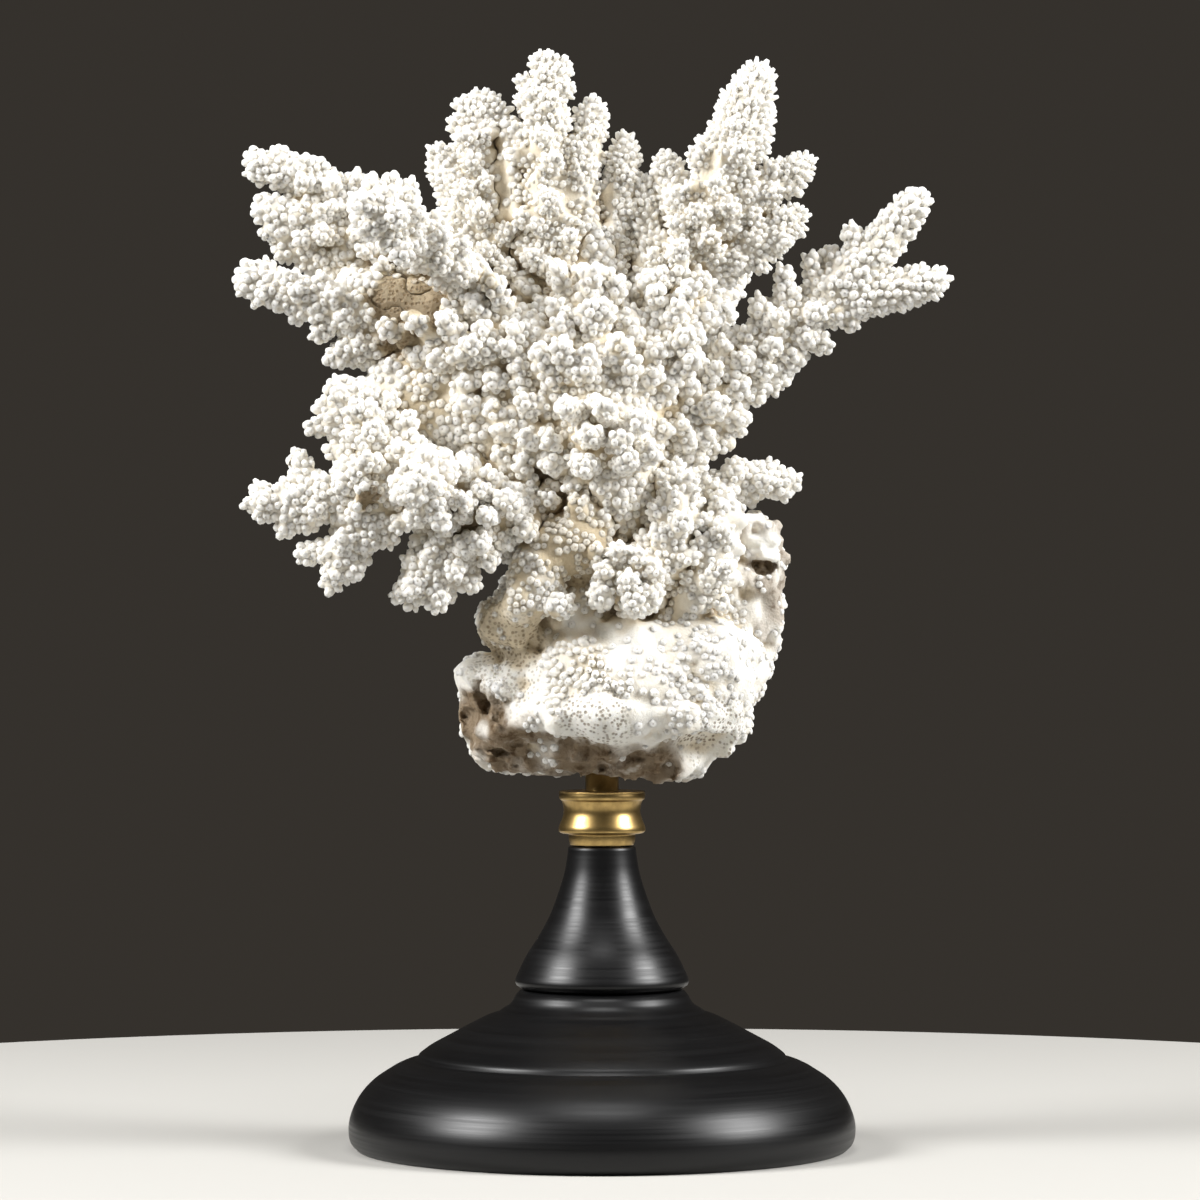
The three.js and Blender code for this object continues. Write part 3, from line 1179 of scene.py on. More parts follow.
@dataclass(frozen=True)
class Branchlets:
    """The knobs that stand on a limb.

    Attributes:
        spacing: How far apart they are.
        root_radius: A knob's radius where it starts.
        tip_radius: Its radius at the rounded tip.
        cup_reach: The space left outside a knob for its cups.
        full_limb: The radius of the thinnest limb whose knobs are full size.
        root_depth: How far out a knob starts, as a share of the core's radius.
        least_climb: The least that it stands out.
        least_slope: The least of a leaning knob's slope outwards, which keeps it short.
        wander: How far a knob strays round the limb, in radians.
        lean: The least and the greatest share of the habit's lean that it has.
        height: The same for how near it comes to the limb's full radius.
        girth: The same for its own radius.
        twig_length: How long a bold twig is.
    """

    spacing: float = 10.2
    root_radius: float = 3.0
    tip_radius: float = 2.6
    cup_reach: float = 1.2
    full_limb: float = 8.0
    root_depth: float = 0.3
    least_climb: float = 2.0
    least_slope: float = 0.35
    wander: float = 0.12
    lean: tuple[float, float] = (0.6, 1.5)
    height: tuple[float, float] = (0.86, 1.06)
    girth: tuple[float, float] = (0.8, 1.18)
    twig_length: float = 14.0


# ---------------------------------------------------------------- the colony, branch by branch

HOLDFAST_LUMPS = (
    Lump((5, 0, 138), (37, 32, 23)),
    Lump((1, -3, 131.5), (35, 32, 12)),
    Lump((-4, 4, 117), (36, 20, 9)),
    Lump((27, -2, 145), (22, 26, 18)),
    Lump((-22, 1, 127), (21, 25, 13)),
    Lump((-31, -3, 137), (12, 17, 9.5)),
    Lump((-38.5, -4, 142.5), (6.5, 12, 5)),
    Lump((-27, -9, 157), (11, 14, 8)),
    Lump((-4, 6, 162), (27, 25, 18)),
    Lump((-20, -22, 172), (7.5, 7, 7.5)),
    Lump((-24, -24, 163.5), (5, 5, 5)),
    Lump((-9, -17, 181), (12, 11, 8.5)),
    Lump((-12.6, -27, 163), (2.7, 4, 2.7)),
    Lump((8, -21, 172), (10, 8, 9)),
    Lump((23, -2, 131), (21.5, 26, 17)),
    Lump((22, -4, 176), (15, 15, 14)),
    Lump((46, -3, 183), (8, 9, 8)),
    Lump((50, -2, 175), (5, 8, 6)),
    Lump((46, -4, 168), (7, 9, 7)),
    Lump((38, 0, 166), (12, 13, 13)),
    Lump((48, -4, 158), (6, 8, 8)),
)
BRANCHES = (
    Branch(
        "holdfast",
        (
            Limb(((10, -12, 164, 9), (18, -18, 176, 12), (22, -18, 190, 11), (22, -16, 199, 8))),
            Limb(((24, -14, 160, 9), (32, -18, 172, 11), (36, -16, 186, 9), (37, -12, 194, 6))),
            Limb(((0, -12, 170, 9), (-5, -18, 182, 11), (-6, -19, 192, 8))),
        ),
        (
            (5, -34, 180), (11, -34, 178), (1, -34, 174), (8, -36, 171), (16, -33, 174),
            (10, -35, 165), (0, -34, 167), (15, -33, 167), (-2, -31, 180),
        ),
        Cups.LOW,
    ),
    Branch(
        "crown",
        (
            Limb(
                (
                    (3, -1, 166, 19), (2, -4, 190, 22), (0, -7, 214, 25),
                    (-6, -6, 240, 21), (-8, -4, 258, 14),
                ),
                Habit.FLOWING,
            ),
            Limb(((-2, -8, 214, 19), (-22, -9, 238, 18), (-39, -7, 254, 12)), Habit.FLOWING),
            Limb(((6, -6, 222, 19), (18, -6, 244, 16), (25, -4, 258, 11)), Habit.FLOWING),
            Limb(((8, -1, 206, 16), (26, -2, 220, 15), (38, 0, 232, 11)), Habit.FLOWING),
            Limb(((-12, 2, 204, 14), (-36, 1, 215, 12), (-60, 0, 226, 9))),
            Limb(((2, -12, 198, 14), (-14, -16, 208, 13), (-30, -16, 218, 11), (-46, -13, 225, 8))),
            Limb(((-24, -10, 218, 12), (-44, -10, 227, 11), (-62, -7, 234, 8))),
            Limb(
                ((-24, -9, 204, 9), (-42, -10, 214, 8), (-56, -9, 224, 7), (-65, -7, 230, 5)),
                Habit.WEB,
            ),
            Limb(
                ((-8, -10, 216, 16), (-28, -13, 229, 14), (-46, -13, 238, 11), (-58, -10, 243, 7))
            ),
            Limb(((-44, 1, 244, 12), (-60, 1, 251, 10), (-74, 0, 258, 7)), Habit.WEB),
            Limb(
                ((-16, 0, 262, 9), (-27, 0, 280, 7.5), (-28, 0, 298, 5.5), (-28, 0, 306, 4)),
                Habit.WEB,
            ),
            Limb(((-2, 0, 266, 8), (-8, 0, 284, 6), (-9, 0, 300, 5)), Habit.WEB),
            Limb(((2, 10, 186, 16), (0, 16, 212, 18), (-2, 14, 238, 14))),
        ),
        (
            (44, -2, 216), (41, -3, 210), (-47, -25, 250), (-40, -27, 242), (-67, -21, 246),
            (-58, -24, 250), (-4, -38, 214), (6, -38, 212), (12, -36, 218), (1, -38, 222),
            (9, -36, 206), (-6, -37, 204), (-12, -36, 222), (16, -33, 208),
        ),
        Cups.WIDE,
    ),
    Branch(
        "lower_left_branch",
        (
            Limb(
                ((-14, -10, 190, 17), (-34, -18, 192, 19), (-54, -22, 196, 18), (-70, -23, 204, 14))
            ),
            Limb(((-64, -24, 198, 13), (-86, -25, 193, 9), (-101, -24, 193, 6))),
            Limb(((-66, -25, 190, 12), (-76, -27, 178, 9), (-79, -28, 169, 4.5))),
            Limb(((-58, -22, 206, 14), (-71, -20, 217, 12), (-76, -19, 226, 7))),
            Limb(((-36, -20, 184, 15), (-48, -24, 174, 12), (-57, -25, 168, 7))),
            Limb(((-50, -24, 196, 15), (-53, -38, 198, 10), (-54, -45, 199, 5))),
        ),
        (
            (-104, -24, 199), (-97, -25, 200), (-103, -25, 188), (-96, -25, 183),
            (-91, -25, 177), (-82, -18, 230), (-86, -19, 223), (-89, -20, 216), (-92, -21, 209),
            (-92, -23, 203), (-69, -20, 231), (-62, -24, 227), (-42, -26, 166), (-41, -41, 193),
            (-34, -40, 188), (-29, -37, 194), (-46, -43, 185), (-36, -39, 180),
        ),
    ),
    Branch(
        "left_low_arm",
        (
            Limb(((-46, 2, 240, 9), (-66, -4, 246, 10), (-86, -8, 255, 9.5), (-105, -6, 260, 6))),
            Limb(((-58, -2, 241, 8), (-73, -7, 239, 7.5), (-79, -8, 237, 5))),
        ),
        (
            (-110, -8, 257), (-106, -8, 252), (-100, -9, 251), (-109, -5, 265), (-103, -5, 266),
            (-94, -8, 248), (-87, -9, 242),
        ),
    ),
    Branch(
        "left_high_arm",
        (
            Limb(((-36, 4, 256, 12), (-62, 5, 274, 12.5), (-84, 4, 288, 10), (-102, 3, 295, 6.5))),
            Limb(((-66, 4, 270, 12), (-86, 3, 277, 10.5), (-99, 2, 280, 6.5))),
            Limb(((-50, 4, 256, 12), (-68, 5, 262, 11), (-86, 5, 268, 8), (-95, 4, 270, 5))),
        ),
        (
            (-108, 3, 299), (-108, 3, 293), (-98, 2, 301), (-88, 1, 298), (-81, 1, 294),
            (-72, 1, 290), (-105, 3, 286), (-101, 2, 280), (-103, 2, 273),
        ),
    ),
    Branch(
        "front_branch",
        (
            Limb(
                (
                    (-36, -10, 256, 10), (-50, -20, 268, 11.5),
                    (-60, -29, 276, 12), (-66, -35, 279, 9),
                )
            ),
        ),
        (
            (-75, -30, 284), (-70, -27, 290), (-63, -25, 291),
            (-57, -24, 290), (-70, -38, 271), (-60, -38, 264),
        ),
    ),
    Branch(
        "top_left_branch",
        (
            Limb(((-26, -2, 256, 13), (-36, 0, 276, 13), (-39, 1, 294, 11.5), (-37, 1, 310, 8.5))),
            Limb(((-36, 0, 276, 9), (-45, 0, 289, 7), (-48, 0, 297, 5))),
        ),
        (
            (-37, 0, 318), (-43, 0, 316), (-46, 0, 310), (-31, 0, 317), (-27, 0, 313),
            (-51, -1, 302), (-53, -1, 296),
        ),
        Cups.FINE,
    ),
    Branch(
        "top_centre_branch",
        (
            Limb(
                (
                    (-12, -4, 260, 14), (-16, -3, 282, 13.5),
                    (-17, -2, 304, 10.5), (-16, -1, 322, 7.5),
                )
            ),
            Limb(((-12, -3, 280, 10), (-5, -1, 298, 8), (-3, 0, 311, 5.5))),
        ),
        (
            (-20, -1, 329), (-15, -1, 330), (-11, -1, 328), (-26, -1, 322), (-26, -1, 316),
            (-8, -1, 320), (-3, 0, 316), (1, 0, 311),
        ),
        Cups.FINE,
    ),
    Branch(
        "top_finger",
        (Limb(((2, 0, 254, 9), (4, 1, 276, 8), (6, 2, 292, 7), (7, 2, 302, 4.5))),),
        ((10, 2, 300), (10, 3, 292)),
        Cups.FINE,
    ),
    Branch(
        "top_right_branch",
        (
            Limb(((18, -2, 250, 14), (27, -3, 271, 14.5), (36, -3, 293, 12), (42, -2, 306, 9.5))),
            Limb(((40, -2, 300, 8.5), (43.5, -1, 312, 7.2), (46, -1, 321, 5)), Habit.SLENDER),
            Limb(((26, -1, 272, 8), (21, 0, 286, 6.5), (19, 1, 296, 4.5))),
            Limb(((36, -2, 276, 10), (50, -1, 288, 8.5), (59, 0, 294, 6))),
            Limb(((32, -2, 264, 10), (46, -2, 271, 9), (57, -2, 278, 6))),
            Limb(((14, 1, 262, 6), (13, 2, 276, 5), (13, 2, 288, 4)), Habit.SLENDER),
        ),
        (
            (33, -1, 309), (29, -1, 303), (24, 0, 297), (62, -1, 297),
            (62, -1, 291), (60, -3, 283), (56, -4, 271),
        ),
        Cups.FINE,
    ),
    Branch(
        "right_arm",
        (
            Limb(((30, 1, 224, 13), (47, 2, 240, 13), (66, 3, 253, 9.5), (76, 2, 262, 7))),
            Limb(((72, 3, 259, 7), (84, 2, 271, 5.7), (95, 1, 285, 4.4)), Habit.SLENDER),
            Limb(((66, 3, 251, 8), (80, 2, 256, 6.5))),
            Limb(((78, 2, 255, 6), (90, 2, 258, 5.4), (101, 1, 260.5, 4.4)), Habit.SLENDER),
        ),
        (
            (74, 0, 278), (67, 3, 272), (62, 1, 270), (54, -2, 266), (47, -3, 257),
            (78, 0, 245), (70, -1, 240), (62, 0, 236), (56, 0, 232), (50, 1, 224),
        ),
    ),
    Branch(
        "right_spray",
        (Limb(((24, -4, 192, 9), (38, -3, 198, 8.5), (49, -2, 200, 7), (57, -1, 200, 4.5))),),
        ((42, -2, 208), (47, -2, 206), (53, -1, 206), (57, -3, 195)),
    ),
    Branch(
        "rear_left_arm",
        (
            Limb(((-10, 10, 222, 13), (-26, 27, 244, 12), (-40, 42, 264, 10), (-48, 51, 280, 7))),
            Limb(((-24, 25, 240, 10), (-42, 34, 246, 9), (-56, 40, 252, 6))),
        ),
        ((-57, 50, 282), (-40, 54, 284), (-62, 44, 260)),
    ),
    Branch(
        "rear_centre_arm",
        (
            Limb(((-2, 8, 232, 13), (-3, 28, 258, 12), (-6, 42, 282, 10), (-8, 50, 299, 7))),
            Limb(((-3, 30, 260, 9), (6, 42, 272, 8.5), (12, 50, 284, 6))),
        ),
        ((-14, 52, 303), (-2, 55, 300), (18, 50, 289)),
    ),
    Branch(
        "rear_right_arm",
        (
            Limb(((12, 8, 220, 13), (26, 25, 239, 12), (35, 40, 255, 9.5), (43, 49, 270, 6.5))),
            Limb(((28, 24, 236, 9), (44, 30, 232, 8.5), (54, 34, 232, 6))),
        ),
        ((48, 50, 278), (36, 50, 276), (60, 36, 240)),
    ),
    Branch(
        "rear_low_branch",
        (
            Limb(((0, 8, 184, 14), (-4, 28, 192, 13), (-12, 42, 204, 10), (-18, 50, 215, 7))),
            Limb(((2, 26, 190, 10), (18, 38, 196, 9.5), (27, 45, 203, 6))),
        ),
        ((-26, 51, 218), (-14, 56, 214), (32, 49, 208)),
    ),
)

# The open slot between the top right branch and the arm below it, in strokes from front to back.
OPEN_SLOT = tuple(Slot((43, depth, 249), (57, depth, 265), 2.2) for depth in range(-20, 21, 3))

# Smooth grooves between the columns at the top.
FLUTES = (
    Slot((-31.5, -5, 301), (-29, -8.5, 279), 2.6, 1.5),
    Slot((-22.5, -10, 298), (-21, -12.5, 282), 2.4, 1.5),
    Slot((-11, -7.5, 311), (-9.5, -10.5, 281), 2.5, 1.5),
    Slot((0.5, -2.5, 301), (0, -5, 279), 2.4, 1.5),
    Slot((33, -9.5, 297), (27.5, -11, 280), 2.4, 1.5),
)

SLOTS = (
    # The long crevice between the lower left branch and the mass above it.
    *(Slot((-40, depth, 208), (-20, depth, 196), 1.1, 1.5) for depth in range(-48, -20, 3)),
    # The undercut below the trunk's front lip.
    Slot((-22, -23, 117), (-12, -26, 116.2), 7.5),
    Slot((-12, -26, 116.2), (0, -27, 115), 7.5),
    Slot((0, -27, 115), (12, -26, 113), 7.5),
    Slot((12, -26, 113), (20, -24, 115), 7.5),
    Slot((20, -24, 115), (27, -21, 118), 7.5),
    Slot((27, -21, 118), (34, -14, 119), 7.5),
    # Holes and a slit that worms and sponges left under the trunk.
    Slot((-37, -30, 133), (-34, -14, 133), 1.3),
    Slot((-33, -34, 118), (-30, -14, 118), 1.9),
    Slot((-24, -30, 115.5), (-10, -28, 115.5), 2.5),
    Slot((19, -32, 117), (30, -24, 120), 5.5, 2.0),
    Slot((21, -34, 114), (28, -29, 115.5), 1.5, 1.5),
    Slot((15.5, -40, 113), (15, -16, 113), 2.2, 1.5),
    # Brown pits in the rock at the right.
    Slot((43.5, -22, 165.5), (43, -12, 166), 2.2, 1.5),
    Slot((49, -16, 173.5), (48.5, -6, 174), 2.3, 1.5),
    *FLUTES,
)

# Old reef rock: under the trunk at the left, along its underside, and the knob at its right.
ROCKS = (
    Spot((-40, -12, 120), 20),
    Spot((-27, -24, 114), 16),
    Spot((-6, -20, 110), 15),
    Spot((14, -18, 109), 14),
    Spot((0, 8, 100), 30, 0.8),
    Spot((48, -6, 184), 13, 0.6),
    Spot((51, -6, 170), 11, 0.7),
    Spot((50, -4, 158), 9, 0.7),
)

# The same grooves as areas, one every few millimetres along them.
ALONG_FLUTES = tuple(
    Spot(tuple(np.array(flute.root) * (1 - share) + np.array(flute.tip) * share), 3.3, 0.75)
    for flute in FLUTES
    for share in np.linspace(0, 1, 7)
)

# Smooth skin with open pores in place of standing cups.
BARE_AREAS = (
    Spot((-30, -20, 150), 14, 0.7),
    Spot((-30, -20, 140), 13, 0.6),
    Spot((36, -18, 122), 14),
    Spot((-2, -34, 127), 12),
    Spot((-30, -30, 222), 7, 0.5),
    Spot((8, -30, 254), 6, 0.5),
)

# Cream and tan on the skin, partly stains and partly painted shade under the branches, in the
# recesses and along the grooves.
STAINS_AND_SHADE = (
    Spot((-54, -16, 221), 11, 0.5),
    Spot((-57, -9, 250), 15, 0.78),
    Spot((-79, -6, 272), 7, 0.4),
    Spot((-88, -8, 284), 8, 0.35),
    Spot((70, -8, 254), 7, 0.4),
    Spot((34, -16, 268), 6, 0.5),
    *(Spot(spot.centre, 4, 0.36) for spot in ALONG_FLUTES),
    Spot((-30, -30, 222), 8, 0.6),
    Spot((8, -30, 255), 6, 0.6),
    Spot((5, -30, 238), 5, 0.55),
    Spot((-36, -24, 258), 6, 0.55),
    Spot((-68, -34, 194), 4, 0.9),
    Spot((-16, -26, 156), 8, 0.5),
    Spot((-10, -24, 182), 14, 0.58),
    Spot((-28, -16, 157), 14, 0.5),
    Spot((-26, -24, 168), 10, 0.5),
    Spot((-4, -32, 148), 7, 0.35),
)

# Where cups stand on the trunk: dense tufts of long ones, and a sparse scatter of low ones.
TUFTS = (
    Spot((-8, -32, 146), 13),
    Spot((-14, -32, 138), 8),
    Spot((3, -34, 138), 6),
    Spot((15, -34, 139), 7, 0.7),
    Spot((-14, -28, 174), 18, 0.8),
    Spot((10, -28, 174), 17),
)
PEARLS = (
    Spot((36, -22, 148), 15),
    Spot((32, -26, 133), 9),
)


@dataclass
class Colony:
    """The whole coral: it grows the field, splits the surface at the forks and sets the cups.

    Attributes:
        pitch: The grid's spacing.
        margin: How far the grid goes on past the part.
        room_below: How far under the trunk's underside the part's box is cut off.
        underside: Where the trunk is cut off flat.
        underside_rise: How much higher the trunk's left and middle end.
        nub_spacing: About how far apart the trunk's nubs are.
        nub_depth: How deep their middles sit under the surface.
        nub_radius: Their least and greatest radius.
        nub_blend: The fillet round a nub.
        trunk_cups: How long the cups on the trunk are, 1 being usual.
        lump_blend: The fillet between the trunk's lumps.
        limb_blend: The fillet between limbs.
        twig_blend: The fillet round a knob.
        knobs: The knobs that stand on limbs.
        heart: The height of the trunk's middle, which its own twigs point away from.
        surroundings: How wide the near and the wider surroundings of a point are.
        finish: The coral's finish.
        seed: Of everything random in the growth.
    """

    pitch: float = 1.1
    margin: float = 8.0
    room_below: float = 6.0
    underside: float = 109.4
    underside_rise: float = 3.4
    nub_spacing: float = 4.2
    nub_depth: float = 1.1
    nub_radius: tuple[float, float] = (1.7, 2.8)
    nub_blend: float = 1.8
    trunk_cups: float = 0.7
    lump_blend: float = 5.0
    limb_blend: float = 4.0
    twig_blend: float = 1.0
    knobs: Branchlets = field(default_factory=Branchlets)
    heart: float = 150.0
    surroundings: tuple[float, float] = (3.0, 9.0)
    finish: CoralSkeleton = field(default_factory=CoralSkeleton)
    seed: int = 7

    def __post_init__(self) -> None:
        """Sets up the grid round the whole part, and the random numbers."""
        low, high = (np.array(corner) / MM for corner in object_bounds())
        low[2] = self.underside - self.room_below
        self.field = GrowthField(low - self.margin, high + self.margin, self.pitch)
        self.random = np.random.default_rng(self.seed)

    def grow(self) -> None:
        """Grows the trunk and every branch into the field, then roughens it."""
        for lump in HOLDFAST_LUMPS:
            self.field.add_lump(lump, TRUNK, self.lump_blend, self.trunk_cups)
        self.grow_nubs()
        for number, branch in enumerate(BRANCHES):
            for limb in branch.limbs:
                self.grow_limb(limb, number)
        for slot in OPEN_SLOT:
            self.field.carve(slot)
        for number, branch in enumerate(BRANCHES):
            for tip in branch.tips:
                self.grow_twig(tip, number)
        for slot in SLOTS:
            self.field.carve(slot)
        self.field.flatten_below(self.underside, self.underside_rise)
        self.field.roughen(Roughness(ROCKS))

    def grow_nubs(self) -> None:
        """Covers the trunk in low nubs, crowded in some patches and absent in others."""
        shell = 0.6 * self.pitch
        places = self.field.cells_within(-self.nub_depth - shell, -self.nub_depth + shell)
        crowded = smooth_step(-0.35, 0.2, lattice_noise(places, 15, 14))
        crowded *= (1 - 0.5 * within(BARE_AREAS, places)) * (1 - within(ROCKS, places))
        odds = crowded * self.field.pitch**2 / self.nub_spacing**2
        for place in places[self.random.random(len(places)) < odds]:
            radius = self.random.uniform(*self.nub_radius)
            nub = Lump(tuple(place), (radius, radius, radius))
            self.field.add_lump(nub, TRUNK, self.nub_blend, self.trunk_cups)

    def grow_limb(self, limb: Limb, node: int) -> None:
        """Grows a limb's core, and its branchlets where its habit has them.

        Args:
            limb: The limb.
            node: The number of its branch.
        """
        places, radii, tangents = self.trace(np.array(limb.sections, float))
        growth = limb.habit.value
        cores = np.maximum(radii * growth.core_share, radii - growth.reach)
        ends = list(range(0, len(places), 3))
        cups = (growth.cup_size, growth.cup_share)
        for a, b in zip(ends, [*ends[1:], len(places) - 1]):
            if a < b:
                stem = Stem(places[a], places[b], cores[a], cores[b], node, *cups)
                self.field.add_stem(stem, self.limb_blend)
        if growth.lean is not None:
            self.grow_branchlets(places, radii, cores, tangents, growth.lean, node)

    def trace(self, sections: np.ndarray) -> tuple[np.ndarray, np.ndarray, np.ndarray]:
        """Follows a limb's smooth middle line, about a millimetre at a time.

        Args:
            sections: The limb's sections, one a row.

        Returns:
            The places, full radii and unit tangents along it.
        """
        line = curve_through(sections, 1.0, 3)
        return line[:, :3], line[:, 3], unit(np.gradient(line[:, :3], axis=0))

    def grow_branchlets(
        self,
        places: np.ndarray,
        radii: np.ndarray,
        cores: np.ndarray,
        tangents: np.ndarray,
        slope: float,
        node: int,
    ) -> None:
        """Sets knobs round a limb in a golden-angle spiral, as many as it has room for.

        Args:
            places: The limb's middle line.
            radii: Its full radius along the line.
            cores: Its core's radius.
            tangents: Its unit tangents.
            slope: How far the knobs lean towards the tip.
            node: The number of its branch.
        """
        knobs = self.knobs
        steps = np.linalg.norm(np.diff(places, axis=0), axis=1)
        area = np.concatenate([[0], np.cumsum(2 * math.pi * radii[1:] * steps)])
        count = max(3, int(area[-1] / knobs.spacing**2))
        turn = self.random.uniform(0, 2 * math.pi)
        for i in range(count):
            at = int(np.searchsorted(area, area[-1] * (i + 0.5) / count))
            tangent = tangents[at]
            side = unit(np.cross(tangent, (0.31, 0.87, 0.38)))
            other = np.cross(tangent, side)
            angle = turn + i * GOLDEN_ANGLE + self.random.normal(0, knobs.wander)
            out = side * math.cos(angle) + other * math.sin(angle)
            toward = unit(out + tangent * slope * self.random.uniform(*knobs.lean))
            full = radii[at] * self.random.uniform(*knobs.height) - knobs.cup_reach
            thick = self.random.uniform(*knobs.girth) * min(1.0, radii[at] / knobs.full_limb)
            root = places[at] + out * cores[at] * knobs.root_depth
            round_end = knobs.tip_radius * thick
            climb = max(full - round_end - cores[at] * knobs.root_depth, knobs.least_climb)
            tip = root + toward * (climb / max(float(toward @ out), knobs.least_slope))
            stem = Stem(root, tip, knobs.root_radius * thick, round_end, node, 1.0, 1.0)
            self.field.add_stem(stem, self.twig_blend)
        end_radius = min(cores[-1], knobs.tip_radius)
        crown = places[-1] + tangents[-1] * max(radii[-1] - end_radius - knobs.cup_reach, 0)
        stem = Stem(places[-2], crown, cores[-1], end_radius, node, 1.0, 1.0)
        self.field.add_stem(stem, self.twig_blend)

    def grow_twig(self, tip: Place, node: int) -> None:
        """Grows one bold twig from the branch's nearest flesh to a tip.

        Args:
            tip: The twig's tip.
            node: The number of its branch.
        """
        knobs = self.knobs
        end = np.array(tip, float)
        if node != TRUNK:
            best = None
            for limb in BRANCHES[node].limbs:
                places, radii, _ = self.trace(np.array(limb.sections, float))
                gaps = np.linalg.norm(places - end, axis=1) - radii
                at = int(np.argmin(gaps))
                # It starts a few steps nearer to the limb's root, so that it leans outwards.
                if best is None or gaps[at] < best[0]:
                    best = (gaps[at], places[max(0, at - 6)])
            root = best[1]
        else:
            # The trunk has no middle line, so its twigs start nearer to its own middle.
            root = np.array((end[0] * 0.8, end[1] * 0.6, self.heart + (end[2] - self.heart) * 0.85))
        length = max(float(np.linalg.norm(root - end)), 1.0)
        start = end + (root - end) * min(1.0, knobs.twig_length / length)
        end = end - unit(end - start) * (knobs.cup_reach + knobs.tip_radius)
        stem = Stem(start, end, knobs.root_radius, knobs.tip_radius, node, 1.0, 1.0)
        self.field.add_stem(stem, self.twig_blend)

    def build(self) -> None:
        """Makes the finished pieces, one for each branch."""
        self.grow()
        LOG.info("field %s, %d stems", self.field.shape, len(self.field.nodes))
        crowds = [self.field.crowding(width) for width in self.surroundings]
        tree = CupTree().build()
        cup = Cup().build()
        material = self.finish.material()
        for number, branch in enumerate(BRANCHES):
            piece = Skin(self.field, number, crowds).piece(f"coral_{branch.node}", material)
            set_cups(piece, tree, cup, material, branch.cups.value, seed=number)
            declare(piece, branch.node)
        bpy.data.objects.remove(cup)


